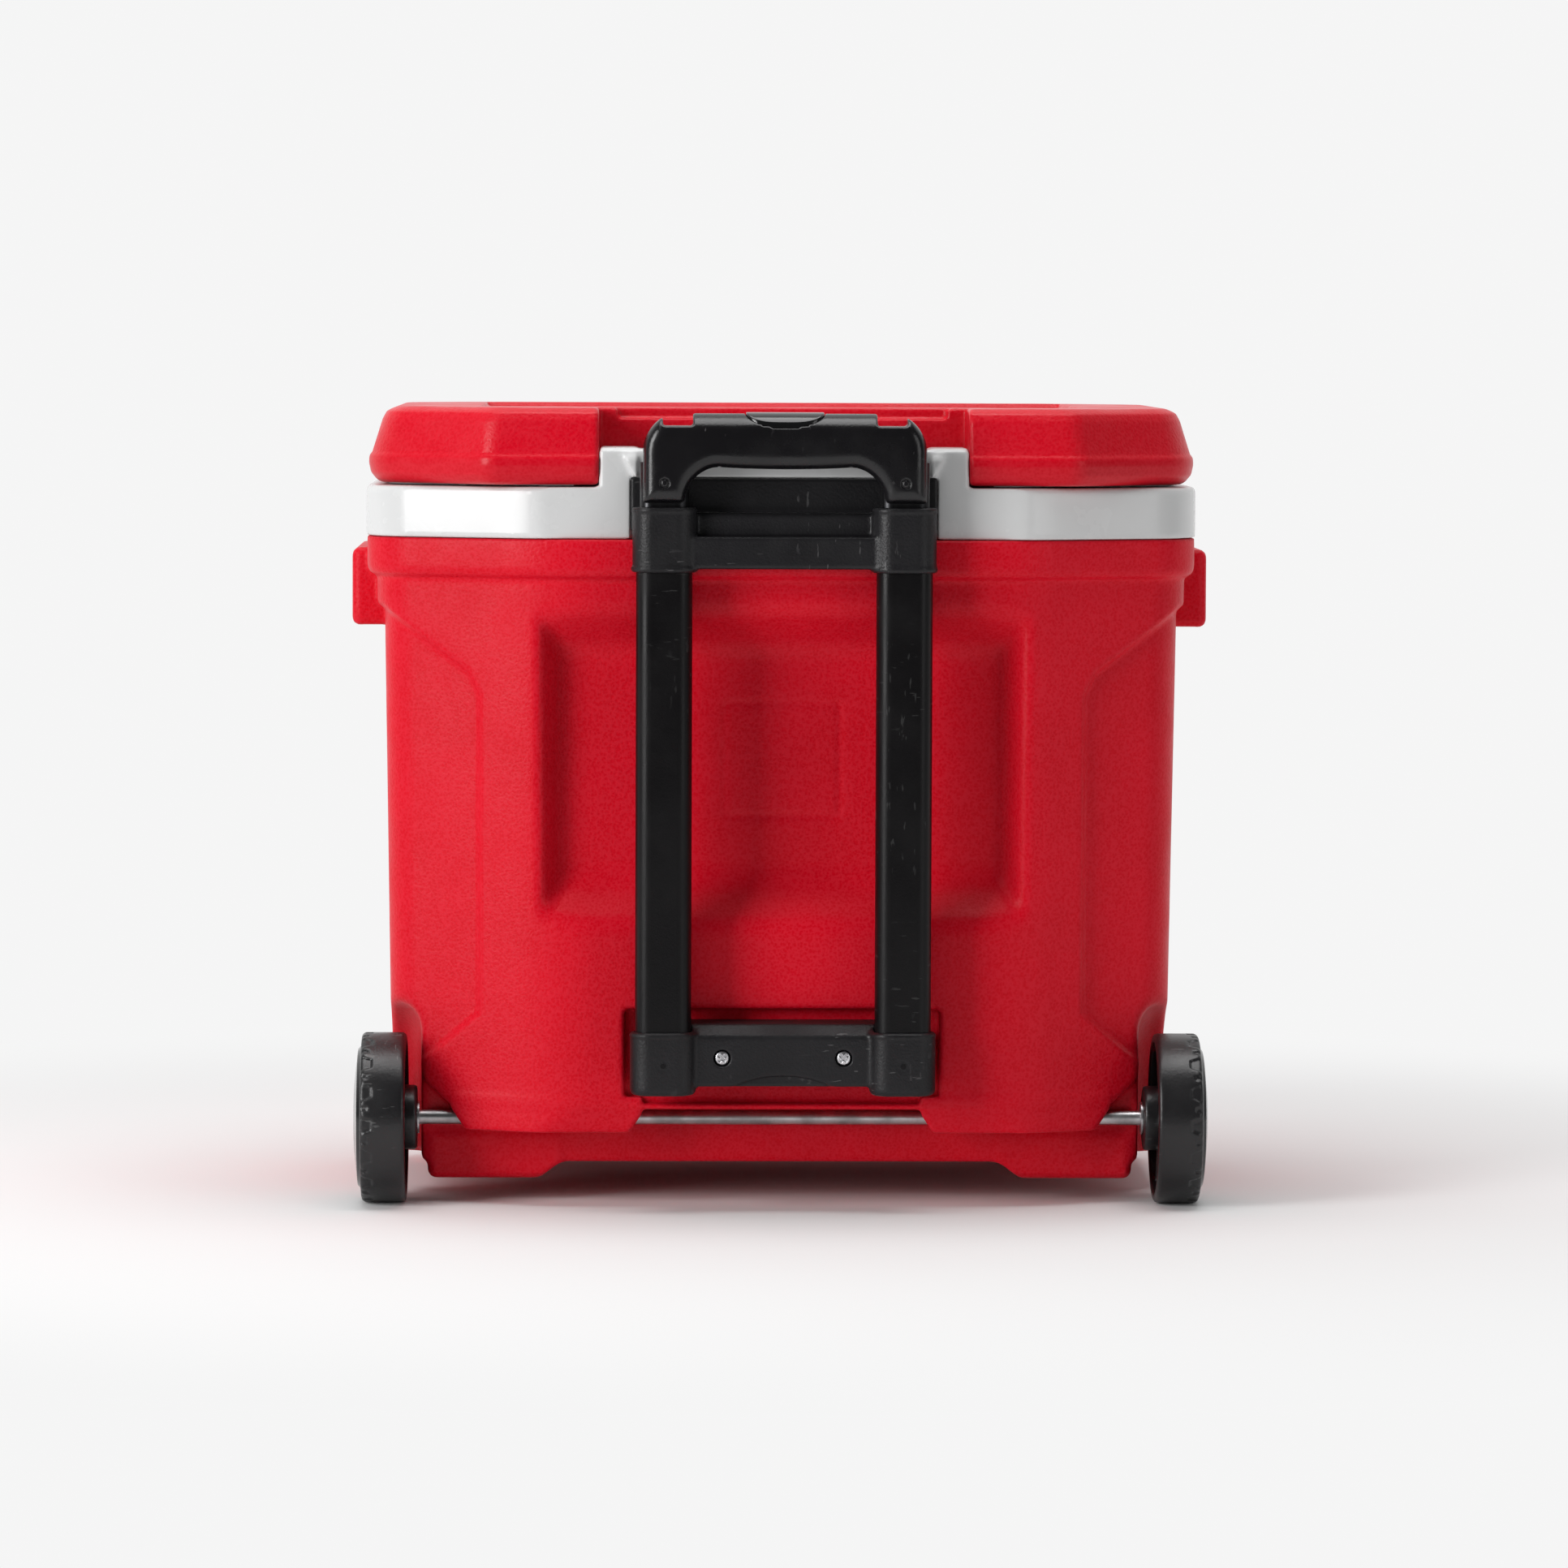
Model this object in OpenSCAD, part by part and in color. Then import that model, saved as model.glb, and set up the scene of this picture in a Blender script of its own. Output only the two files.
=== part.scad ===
// Two-wheeled insulated picnic cooler with a telescoping pull handle.
// Frame: +Z up, the handle and wheels at +Y, the lid opens towards +Y.
// Origin: centre of the whole cooler's footprint, on the ground.

/* [Body] */
// Width over the white collar
collar_w = 464; // [440:2:480]
// Depth over the white collar
collar_d = 332; // [310:2:350]
// Height of the collar's top edge, where the lid sits
collar_top = 399.8; // [392:0.2:410]
// Height of the visible white collar
collar_h = 28.8; // [24:0.2:32]
// Height of the red rim band under the collar
rim_h = 22; // [16:1:26]
// How far the side walls step in below the rim band
shoulder_in = 6; // [4:1:8]
// How far the side walls step in again below the shoulder
side_in = 4; // [3:1:6]
// Further draft of the side walls from rim to base
wall_draft = 5; // [3:1:7]
// Wall thickness of the red and white mouldings
wall = 3; // [2.5:0.5:4]
// Height of the body's underside above the ground
base_z = 22; // [20:1:26]
// Half width of the flat middle of the front and rear faces
flat_half = 130; // [120:1:140]
// Radius of the rounded corners
corner_r = 42; // [38:1:46]

/* [Cavity] */
// Width of the cold cavity at its mouth
cavity_w = 392; // [380:1:394]
// Height of the cavity floor
cavity_floor = 69; // [67:1:80]

/* [Lid] */
// Height of the lid from seam to top
lid_h = 43; // [40:1:46]
// Widest edge of the lid, set in from the collar
lid_in = 3; // [2:0.5:4]
// Half width of the notch that clears the handle
notch_half = 102; // [100:1:106]

/* [Handle] */
// Spacing of the two tubes, centre to centre
tube_pitch = 132; // [130:1:134]
// Width of an outer tube
tube_w = 31; // [30:0.5:32]
// Thickness of an outer tube
tube_t = 17; // [16.5:0.5:17.5]
// How far the grip pulls up
travel = 245; // [200:5:245]
// Width of the grip
grip_w = 158; // [156:1:162]
// Thickness of the grip
grip_t = 28; // [26:1:30]
// Travel of the release button
button_travel = 5; // [4:0.5:6]

/* [Wheels] */
// Diameter of a wheel
wheel_d = 95; // [90:1:98]
// Width of a wheel's tread
tread_w = 25; // [22:1:26]
// Diameter of the axle rod
axle_d = 8; // [7:0.5:9]

/* [Hidden] */
$fn = 48;
eps = 0.01;
over = 1;
fit = 0.08;
seat = 0.3;
play = 0.05;

// How far the handle and the lid's lip reach past the collar's faces
rear_over = 26;
front_over = 12;
depth = collar_d + rear_over + front_over;
rear_y = depth / 2 - rear_over;
front_y = front_over - depth / 2;
mid_y = (rear_y + front_y) / 2;
side_x = collar_w / 2;

rim_draft = 0.8;

// Levels
rim_top = collar_top - collar_h;
rim_base = rim_top - rim_h;
lid_gap = 0.6;
lid_base = collar_top + lid_gap;
lid_top = lid_base + lid_h;

// Corner circles of the plan outline
corner_x = side_x - corner_r;
corner_setback = 73.6;
corner_y = collar_d / 2 - corner_setback;
hull_fn = 32;

// The shoulder under the rim band, and where it has tapered in
shoulder_base = 334;
shoulder_foot = 325;

// Cavity
cavity_rear = rear_y - 53;
cavity_front = front_y + 27;
cavity_d = cavity_rear - cavity_front;
cavity_mid = (cavity_rear + cavity_front) / 2;
cavity_r = 30;
cavity_corner_y = 83.5;
cavity_flat_half = 110;
cavity_draft = 6;
liner_t = 2.5;

// Hinge
hinge_z = collar_top + 13.5;
hinge_y = rear_y - 13;
hinge_pin_d = 8;
hinge_reach = 10;
notch_y = hinge_y - 33;
boss_half = 101.6;
boss_t = 12.6;
boss_top = hinge_z + 8.5;
web_front = hinge_y - 31;
web_t = 13;
plate_half = 84.5;
plate_t = 4;
plate_y = rear_y - 2.5;
plate_top = 405;
plate_base = 375.5;
ear_t = 14;
plug_gap = 3;
plug_h = 11;
tray_half = 168;
tray_h = 2.5;

// Tubes, brackets and grip
tube_x = tube_pitch / 2;
tube_y = rear_y + 12;
tube_wall = 1.5;
tube_base = 67;
tube_top = 389;
collar_sleeve_w = 36;
collar_sleeve_t = 23.6;
upper_z = 353.5;
upper_h = 36;
bar_h = 32;
bar_step = 19;
lower_z = 65.5;
lower_h = 39.5;
inner_w = tube_w - 2 * tube_wall - 1;
inner_t = tube_t - 2 * tube_wall - 1;
inner_wall = 1.2;
inner_base = 83;
grip_base = upper_z + upper_h + 2.1;
grip_top = 441;
grip_inner_top = grip_top - 15;
inner_top = grip_inner_top - 12;
foot_base = 71;
pin_z = foot_base + 6;
rod_offset = -6;
screw_x = 33.5;
screw_z = 86.2;
plate_screw_z = 394;
screw_d = 4;
screw_head_d = 8;
grip_pin_z = grip_base + 11;
grip_screw_x = 36;
grip_screw_z = grip_top - 28.5;
lower_pin_z = lower_z + 17;

// Rear face features
recess_half = 138;
recess_floor_half = 122;
recess_base = 155;
recess_top = 332;
recess_slope = 26;
recess_top_slope = 22;
recess_depth = 22;
pocket_half = 87;
pocket_base = 58.5;
pocket_top = 110.5;
pocket_y = rear_y - 18;

// Running gear
axle_z = wheel_d / 2;
axle_y = rear_y - 42;
well_r = wheel_d / 2 + 18.5;
well_x = 201;
hub_x = 202.6;
tread_x = 208.4;
cover_x = tread_x + tread_w;
cover_t = 4.6;
axle_half = cover_x - 5.4;
channel_y = axle_y - axle_d / 2 - 1;
channel_top = 55;
lip_base = 41.5;
lip_x = [84, 178];
foot_x = [132, 196];
rear_foot_z = 12.5;
front_foot_y = [front_y + 47, front_y + 95];

// Side grab handles
grab_z = [319.5, 363.5];
grab_half_y = 65;
grab_out = 9;

RED = "#c4122a";
WHITE = "#eef0ee";
BLACK = "#222224";
STEEL = "#b9bcc0";
FOAM = "#e8d9a0";

// ---------- shapes that repeat ----------

// One thin level of the cooler's bowed, round-cornered plan outline
module plan_level(inset, z, narrow) {
  translate([0, mid_y, z])
    linear_extrude(eps) {
      square([2 * flat_half, collar_d - 2 * inset], center = true);
      for (sx = [-1, 1], sy = [-1, 1])
        translate([sx * (corner_x - narrow), sy * corner_y])
          circle(r = corner_r - inset, $fn = hull_fn);
    }
}

// A solid through several [inset, z] levels of the plan outline, its sides set in further
module plan_solid(levels, narrow = 0) {
  last = len(levels) - 1;
  hull()
    for (i = [0:last])
      plan_level(levels[i][0], levels[i][1] - eps * i / last, narrow);
}

// A box between two corner points
module box(low, high) {
  translate(low)
    cube(high - low);
}

// A cylinder along X between two places, around a given axis
module rod_x(x0, x1, y, z, d) {
  translate([x0, y, z])
    rotate([0, 90, 0])
      cylinder(h = x1 - x0, d = d);
}

// A cylinder along Y between two places, around a given axis
module rod_y(y0, y1, x, z, d) {
  translate([x, y0, z])
    rotate([-90, 0, 0])
      cylinder(h = y1 - y0, d = d);
}

// A flat-sided tube outline with round ends, standing on z
module obround(w, t, z, h) {
  translate([0, 0, z])
    linear_extrude(h) {
      square([w - t, t], center = true);
      for (s = [-1, 1])
        translate([s * (w - t) / 2, 0])
          circle(d = t);
    }
}

// Both sides of the cooler, the second one mirrored
module both_sides() {
  children();
  mirror([1, 0, 0])
    children();
}

// The drafted cavity between two levels, grown outwards by a skin thickness
module cavity_block(skin, z0, z1) {
  full = collar_top - cavity_floor;
  hull()
    for (z = [z0, z1 - eps]) {
      draft = cavity_draft * (collar_top - z) / full;
      translate([0, 0, z])
        linear_extrude(eps) {
          translate([0, cavity_mid])
            square([2 * cavity_flat_half, cavity_d - draft + 2 * skin], center = true);
          for (sx = [-1, 1], sy = [-1, 1])
            translate([
              sx * (cavity_w / 2 - cavity_r - draft),
              mid_y + sy * (cavity_corner_y - draft / 2)
            ])
              circle(r = cavity_r + skin, $fn = hull_fn);
        }
    }
}

// The rear recess between the tubes, grown by a skin thickness
module rear_recess(skin) {
  deep = rear_y - shoulder_in - recess_depth - skin;
  hull() {
    box(
      [-recess_half - skin, rear_y, recess_base - skin],
      [recess_half + skin, rear_y + eps, recess_top + skin]
    );
    box(
      [-recess_floor_half - skin, deep, recess_base + recess_slope - skin],
      [recess_floor_half + skin, deep + eps, recess_top - recess_top_slope + skin]
    );
  }
}

// The space around one wheel, grown by a skin thickness
module wheel_well(skin) {
  rod_x(well_x - skin, side_x + over, axle_y, axle_z, 2 * (well_r + skin));
  box(
    [well_x - skin, axle_y, -over],
    [side_x + over, rear_y + over, axle_z + well_r / 2 + skin]
  );
}

// A coil spring as a swept ring of points, standing on z = 0
module coil(d, wire, h, turns) {
  per_turn = 12;
  sides = 6;
  rings = turns * per_turn;
  points = [
    for (i = [0:rings], k = [0:sides - 1])
      let (
        a = 360 * i / per_turn,
        b = 360 * k / sides,
        r = (d - wire) / 2 + cos(b) * wire / 2
      )
      [r * cos(a), r * sin(a), wire / 2 + (h - wire) * i / rings + sin(b) * wire / 2]
  ];
  walls = [
    for (i = [0:rings - 1], k = [0:sides - 1])
      let (n = (k + 1) % sides)
      [i * sides + k, i * sides + n, (i + 1) * sides + n, (i + 1) * sides + k]
  ];
  ends = [
    [for (k = [sides - 1:-1:0]) k],
    [for (k = [0:sides - 1]) rings * sides + k]
  ];
  polyhedron(points, concat(walls, ends), convexity = 4);
}

// ---------- body ----------

// Outer form of the red body, without its rear features
module body_form() {
  plan_solid(
    [[shoulder_in + wall_draft, base_z], [shoulder_in + rim_draft, shoulder_base]],
    side_in
  );
  // Shoulder under the rim band, tapering in to the side walls
  hull() {
    plan_level(shoulder_in + 2 * rim_draft, shoulder_foot, side_in);
    plan_level(shoulder_in + rim_draft, shoulder_base, 0);
    plan_level(shoulder_in, rim_base + wall, 0);
  }
  plan_solid([[rim_draft, rim_base], [0, rim_top]]);
}

// The hollow inside the red body, which the foam fills
module body_void() {
  difference() {
    plan_solid(
      [
        [shoulder_in + wall_draft + wall, base_z + wall],
        [shoulder_in + wall, rim_top + over]
      ],
      side_in
    );
    rear_recess(wall);
    both_sides()
      wheel_well(wall);
    box(
      [-side_x, channel_y - wall, 0],
      [side_x, rear_y + over, channel_top + wall]
    );
    box(
      [-pocket_half - wall, pocket_y - wall, pocket_base - wall],
      [pocket_half + wall, rear_y + over, pocket_top + wall]
    );
  }
}

// One grab handle moulded on the side wall, open underneath
module grab_handle() {
  y0 = mid_y - grab_half_y;
  y1 = mid_y + grab_half_y;
  root_x = side_x - shoulder_in - 2;
  difference() {
    box([root_x, y0, grab_z[0]], [side_x + grab_out, y1, grab_z[1]]);
    box(
      [root_x - over, y0 + 4, grab_z[0] - over],
      [side_x + grab_out - 4, y1 - 4, grab_z[1] - 5]
    );
  }
}

module body_shell() {
  color(RED)
    difference() {
      union() {
        difference() {
          body_form();
          body_void();
          rear_recess(0);
          both_sides()
            wheel_well(0);
          box([-side_x, channel_y, 0], [side_x, rear_y + over, channel_top]);
          box(
            [-pocket_half, pocket_y, pocket_base],
            [pocket_half, rear_y + over, pocket_top]
          );
        }
        both_sides() {
          grab_handle();
          // Lips under the rear edge that carry the axle
          box([lip_x[0], channel_y + 0.5, lip_base], [lip_x[1], rear_y - 14, channel_top + 2]);
          // Rear feet stay clear of the ground, front feet stand on it
          box([foot_x[0], channel_y - 55, rear_foot_z], [foot_x[1], channel_y, base_z + wall]);
          box([foot_x[0], front_foot_y[0], 0], [foot_x[1], front_foot_y[1], base_z + wall]);
        }
        // Screw bosses behind the lower bracket
        for (s = [-1, 1])
          rod_y(pocket_y - 16, pocket_y, s * screw_x, screw_z, 9);
      }
      both_sides()
        rod_x(lip_x[0] - over, lip_x[1] + over, axle_y, axle_z, axle_d + 2 * fit);
      for (s = [-1, 1])
        rod_y(pocket_y - 15, pocket_y + over, s * screw_x, screw_z, screw_d);
    }
}

// Collar space between the liner's flange and the body's rim
module collar_void(z0, skin) {
  draft = 0.02 * (collar_top - wall - z0);
  plan_solid([[wall + draft + skin, z0], [wall + skin, collar_top - wall - skin]]);
}

module body_foam() {
  color(FOAM)
    difference() {
      union() {
        body_void();
        collar_void(rim_top, play);
      }
      cavity_block(liner_t + play, cavity_floor - liner_t - play, collar_top);
      plate_pocket(wall + play);
      for (s = [-1, 1])
        rod_y(pocket_y - 17, pocket_y, s * screw_x, screw_z, 10);
      for (s = [-1, 1])
        rod_y(plate_y - 22, rear_y, s * tube_x, plate_screw_z, 10);
    }
}

// Pocket in the rear of the collar that the upper bracket's plate sits in
module plate_pocket(skin) {
  box(
    [-plate_half - seat - skin, plate_y - plate_t - skin, plate_base - 0.5 - skin],
    [plate_half + seat + skin, rear_y + over, collar_top + over]
  );
}

module liner() {
  bottom = cavity_floor - liner_t;
  color(WHITE)
    difference() {
      union() {
        difference() {
          plan_solid([[0, rim_top], [0, collar_top]]);
          collar_void(rim_top - over, 0);
        }
        difference() {
          box(
            [-plate_half - seat - wall, plate_y - plate_t - wall, plate_base - 0.5 - wall],
            [plate_half + seat + wall, rear_y, collar_top - over]
          );
          plate_pocket(0);
        }
        cavity_block(liner_t, bottom, collar_top);
        for (s = [-1, 1])
          rod_y(plate_y - plate_t - 16, plate_y - plate_t, s * tube_x, plate_screw_z, 9);
        // Raised web and hinge bosses
        box(
          [-boss_half, web_front, collar_top - wall],
          [boss_half, web_front + web_t, boss_top - 1]
        );
        both_sides()
          hinge_boss();
      }
      cavity_block(0, cavity_floor, collar_top + over);
      plate_pocket(0);
      rod_x(-boss_half - over, -boss_half + boss_t - 2, hinge_y, hinge_z, hinge_pin_d);
      rod_x(boss_half - boss_t + 2, boss_half + over, hinge_y, hinge_z, hinge_pin_d);
      for (s = [-1, 1])
        rod_y(plate_y - plate_t - 15, plate_y, s * tube_x, plate_screw_z, screw_d - 1);
    }
}

// One upright block that holds a hinge pin
module hinge_boss() {
  box(
    [boss_half - boss_t, web_front, collar_top - wall],
    [boss_half, hinge_y, boss_top]
  );
  rod_x(boss_half - boss_t, boss_half, hinge_y, hinge_z, 2 * (boss_top - hinge_z));
  box(
    [boss_half - boss_t, hinge_y - over, collar_top - wall],
    [boss_half, hinge_y + boss_top - hinge_z, hinge_z]
  );
}

module hinge_pins() {
  color(WHITE)
    both_sides()
      rod_x(boss_half - boss_t + 2, boss_half + hinge_reach, hinge_y, hinge_z, hinge_pin_d);
}

// ---------- lid ----------

// Insets of the lid's outline from the collar, from seam to top
lid_levels = [
  [lid_in + 7.2, lid_base],
  [lid_in + 2, lid_base + 4.5],
  [lid_in, lid_base + 11.6],
  [lid_in + 8, lid_top - 6],
  [lid_in + 11, lid_top - 2],
  [lid_in + 19, lid_top]
];

// The notch in the lid's rear edge, grown by a skin thickness
module lid_notch(skin) {
  box(
    [-notch_half - skin, notch_y - skin, lid_base - 2 * over],
    [notch_half + skin, rear_y + over, lid_top + over]
  );
}

// The hollow inside the lid, which the foam fills
module lid_void() {
  difference() {
    plan_solid([
      [lid_in + 7.2 + wall, lid_base - over],
      [lid_in + wall, lid_base + 11.6],
      [lid_in + 10 + wall, lid_top - 2 - wall]
    ]);
    lid_notch(wall);
    both_sides()
      box(
        [notch_half - over, hinge_y - 16, lid_base - 2 * over],
        [notch_half + ear_t, rear_y + over, lid_top + over]
      );
  }
}

// The shallow tray in the lid's top
module tray_block() {
  box(
    [-tray_half, front_y + 40, lid_top - tray_h],
    [tray_half, notch_y - 26, lid_top + 2 * wall]
  );
}

module lid_shell() {
  lip_half = 70;
  color(RED)
    difference() {
      union() {
        difference() {
          plan_solid(lid_levels);
          lid_void();
        }
        // Lip at the front for lifting the lid
        box(
          [-lip_half, front_y - front_over, lid_base + 2],
          [lip_half, front_y + lid_in + wall, lid_base + 12]
        );
      }
      lid_notch(0);
      // Chamfer along the top of the notch
      translate([0, notch_y, lid_top])
        rotate([45, 0, 0])
          cube([2 * notch_half - 18, 9, 9], center = true);
      tray_block();
      both_sides()
        rod_x(
          notch_half - over, notch_half + hinge_reach + over,
          hinge_y, hinge_z, hinge_pin_d + 2 * fit
        );
    }
}

module lid_foam() {
  color(FOAM) {
    difference() {
      intersection() {
        lid_void();
        box([-side_x, front_y, lid_base + liner_t + play], [side_x, rear_y, lid_top]);
      }
      translate([0, 0, -wall])
        tray_block();
    }
    cavity_block(-plug_gap - liner_t - play, lid_base - plug_h + liner_t + play, lid_base + 5);
  }
}

module lid_liner() {
  color(WHITE)
    difference() {
      union() {
        intersection() {
          lid_void();
          box([-side_x, front_y, lid_base], [side_x, rear_y, lid_base + liner_t]);
        }
        cavity_block(-plug_gap, lid_base - plug_h, lid_base + over);
      }
      cavity_block(-plug_gap - liner_t, lid_base - plug_h + liner_t, lid_base + 2 * liner_t);
    }
}

// ---------- wheels ----------

module axle() {
  color(STEEL)
    rod_x(-axle_half, axle_half, axle_y, axle_z, axle_d);
}

// A flat ring round the axle
module axle_ring(x0, x1, d, bore) {
  difference() {
    rod_x(x0, x1, axle_y, axle_z, d);
    rod_x(x0 - over, x1 + over, axle_y, axle_z, bore);
  }
}

module axle_washers() {
  color(STEEL)
    both_sides()
      axle_ring(well_x + 0.3, well_x + 1.3, 18, axle_d + 2 * fit);
}

module axle_push_nuts() {
  color(STEEL)
    both_sides()
      axle_ring(axle_half - 2.4, axle_half - 1, 15, axle_d);
}

// The right wheel: hub, web, ribs and tread
module wheel_form() {
  r = wheel_d / 2;
  hub_r = 18;
  rim_t = 5;
  hub_end = cover_x - 8.2;
  bore_r = axle_d / 2 + fit;
  notch_count = 20;
  translate([0, axle_y, axle_z])
    rotate([0, 90, 0])
      difference() {
        union() {
          rotate_extrude($fn = 96)
            polygon([
              [bore_r, hub_x], [hub_r, hub_x], [hub_r, tread_x + 12],
              [r - rim_t, tread_x + 12], [r - rim_t, tread_x], [r - 1.5, tread_x],
              [r, tread_x + 2], [r, cover_x - 6], [r - 2.5, cover_x],
              [r - 7, cover_x], [r - 7, hub_end], [bore_r, hub_end]
            ]);
          for (a = [0:60:300])
            rotate([0, 0, a])
              translate([hub_r - 1, -1.5, tread_x + 3])
                cube([r - rim_t - hub_r + 2, 3, 12]);
        }
        for (i = [0:notch_count - 1])
          rotate([0, 0, i * 360 / notch_count])
            translate([r - 1.2, -3.2, cover_x - 9])
              cube([4, 6.4, 10]);
      }
}

module wheel_left() {
  color(BLACK)
    wheel_form();
}

module wheel_right() {
  color(BLACK)
    mirror([1, 0, 0])
      wheel_form();
}

// Domed disc that closes the outer side of a wheel
module cover_form() {
  r = wheel_d / 2 - 7.3;
  translate([0, axle_y, axle_z])
    rotate([0, 90, 0])
      rotate_extrude($fn = 96)
        polygon([
          [0, cover_x + cover_t - 2.4], [0, cover_x + cover_t],
          [r * 0.5, cover_x + cover_t - 0.5], [r - 2, cover_x + cover_t - 2.6],
          [r, cover_x], [r, cover_x - 5], [r - 2, cover_x - 5],
          [r - 2.4, cover_x - 0.6], [r * 0.5, cover_x + cover_t - 2.7]
        ]);
}

module wheel_cover_left() {
  color(BLACK)
    cover_form();
}

module wheel_cover_right() {
  color(BLACK)
    mirror([1, 0, 0])
      cover_form();
}

// ---------- handle brackets and outer tubes ----------

// Sleeves of a bracket round both tubes, bored for them
module sleeves(z, h, bore_z) {
  both_sides()
    translate([tube_x, tube_y, 0])
      difference() {
        obround(collar_sleeve_w, collar_sleeve_t, z, h);
        obround(tube_w + 2 * fit, tube_t + 2 * fit, bore_z, h + 2 * over);
      }
}

module upper_bracket() {
  inner = tube_x - collar_sleeve_w / 2 + 3;
  front = rear_y + seat;
  color(BLACK) {
    sleeves(upper_z, upper_h, upper_z - over);
    difference() {
      union() {
        // Bar between the sleeves: flat lower band, set-back band above it
        box([-inner, front, upper_z + 2], [inner, rear_y + 19, upper_z + bar_step + 1]);
        box([-inner, front, upper_z + bar_step], [inner, rear_y + 10, upper_z + bar_h]);
        // Feet that tie the sleeves and the bar to the plate
        box([-inner, plate_y - plate_t, upper_z + 25], [inner, rear_y + 4, upper_z + bar_h]);
        box([-plate_half, plate_y - plate_t, plate_base], [plate_half, plate_y, plate_top]);
        both_sides()
          box(
            [tube_x - 17, plate_y - over, upper_z + 25],
            [tube_x + 17, rear_y + 3.4, upper_z + bar_h]
          );
      }
      for (s = [-1, 1]) {
        rod_y(plate_y - plate_t - over, plate_y + over, s * tube_x, plate_screw_z, screw_d + 0.4);
        translate([s * tube_x, plate_y - 2.2, plate_screw_z])
          rotate([-90, 0, 0])
            cylinder(h = 2.3, d1 = screw_d + 0.4, d2 = screw_head_d + 0.4);
        translate([s * tube_x, tube_y, 0])
          obround(tube_w + 2 * fit, tube_t + 2 * fit, upper_z - over, upper_h + 2 * over);
      }
    }
  }
}

module upper_bracket_screws() {
  color(STEEL)
    for (s = [-1, 1]) {
      rod_y(plate_y - plate_t - 12, plate_y - 2.1, s * tube_x, plate_screw_z, screw_d - 1);
      translate([s * tube_x, plate_y - 2.2, plate_screw_z])
        rotate([-90, 0, 0])
          cylinder(h = 2, d1 = screw_d - 0.6, d2 = screw_head_d - 0.4);
    }
}

module lower_bracket() {
  web_half = tube_x - collar_sleeve_w / 2 + 3;
  web_y = tube_y + 4;
  color(BLACK)
    difference() {
      union() {
        translate([0, tube_y, 0])
          both_sides()
            translate([tube_x, 0, 0])
              obround(collar_sleeve_w, collar_sleeve_t, lower_z, lower_h - 4);
        box([-web_half, pocket_y + 0.2, lower_z + 3], [web_half, web_y, lower_z + lower_h]);
        both_sides()
          box(
            [tube_x - 14, pocket_y + 0.2, lower_z + 3],
            [tube_x + 14, tube_y, lower_z + lower_h - 4]
          );
      }
      both_sides()
        translate([tube_x, tube_y, 0])
          obround(tube_w + 2 * fit, tube_t + 2 * fit, tube_base, lower_h + over);
      // Chamfer along the top of the web
      translate([0, web_y, lower_z + lower_h])
        rotate([45, 0, 0])
          cube([2 * web_half + over, 7, 7], center = true);
      for (s = [-1, 1]) {
        rod_y(pocket_y, web_y + over, s * screw_x, screw_z, screw_d + 0.4);
        rod_y(web_y - 3, web_y + over, s * screw_x, screw_z, screw_head_d + 1);
        rod_y(tube_y, tube_y + collar_sleeve_t, s * tube_x, lower_pin_z, 3.2);
      }
    }
}

module lower_bracket_screws() {
  web_y = tube_y + 4;
  color(STEEL)
    for (s = [-1, 1])
      difference() {
        union() {
          rod_y(pocket_y - 12, web_y - 2.9, s * screw_x, screw_z, screw_d);
          rod_y(web_y - 3, web_y - 0.6, s * screw_x, screw_z, screw_head_d);
        }
        for (a = [0, 90])
          translate([s * screw_x, web_y - 0.6, screw_z])
            rotate([0, a + 45, 0])
              cube([4.2, 2.4, 1], center = true);
      }
}

// Small rivets that hold the tubes in the lower bracket
module lower_bracket_pins() {
  color(BLACK)
    for (s = [-1, 1])
      rod_y(
        tube_y + tube_t / 2 - tube_wall, tube_y + collar_sleeve_t / 2 - 0.3,
        s * tube_x, lower_pin_z, 3
      );
}

// Black steel tube that stays on the cooler
module outer_tube_form() {
  translate([tube_x, tube_y, 0])
    difference() {
      obround(tube_w, tube_t, tube_base, tube_top - tube_base);
      obround(
        tube_w - 2 * tube_wall, tube_t - 2 * tube_wall,
        tube_base - over, tube_top - tube_base + 2 * over
      );
      // Lock hole for the raised handle, on the side facing the body
      rod_y(-tube_t, 0, rod_offset, pin_z + travel, 5);
      rod_y(0, tube_t, 0, lower_pin_z, 3);
    }
}

module outer_tube_left() {
  color(BLACK)
    outer_tube_form();
}

module outer_tube_right() {
  color(BLACK)
    mirror([1, 0, 0])
      outer_tube_form();
}

// Plastic plugs that close the outer tubes' lower ends
module tube_end_plugs() {
  color(BLACK)
    both_sides()
      translate([tube_x, tube_y, 0])
        obround(inner_w, inner_t, tube_base + 0.1, 3);
}

// ---------- telescoping stage ----------

module inner_tube_form() {
  translate([tube_x, tube_y, 0])
    difference() {
      obround(inner_w, inner_t, inner_base, inner_top - inner_base);
      obround(
        inner_w - 2 * inner_wall, inner_t - 2 * inner_wall,
        inner_base - over, inner_top - inner_base + 2 * over
      );
      rod_y(-inner_t, inner_t, 0, grip_pin_z, 3);
    }
}

module inner_tube_left() {
  color(STEEL)
    inner_tube_form();
}

module inner_tube_right() {
  color(STEEL)
    mirror([1, 0, 0])
      inner_tube_form();
}

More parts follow.
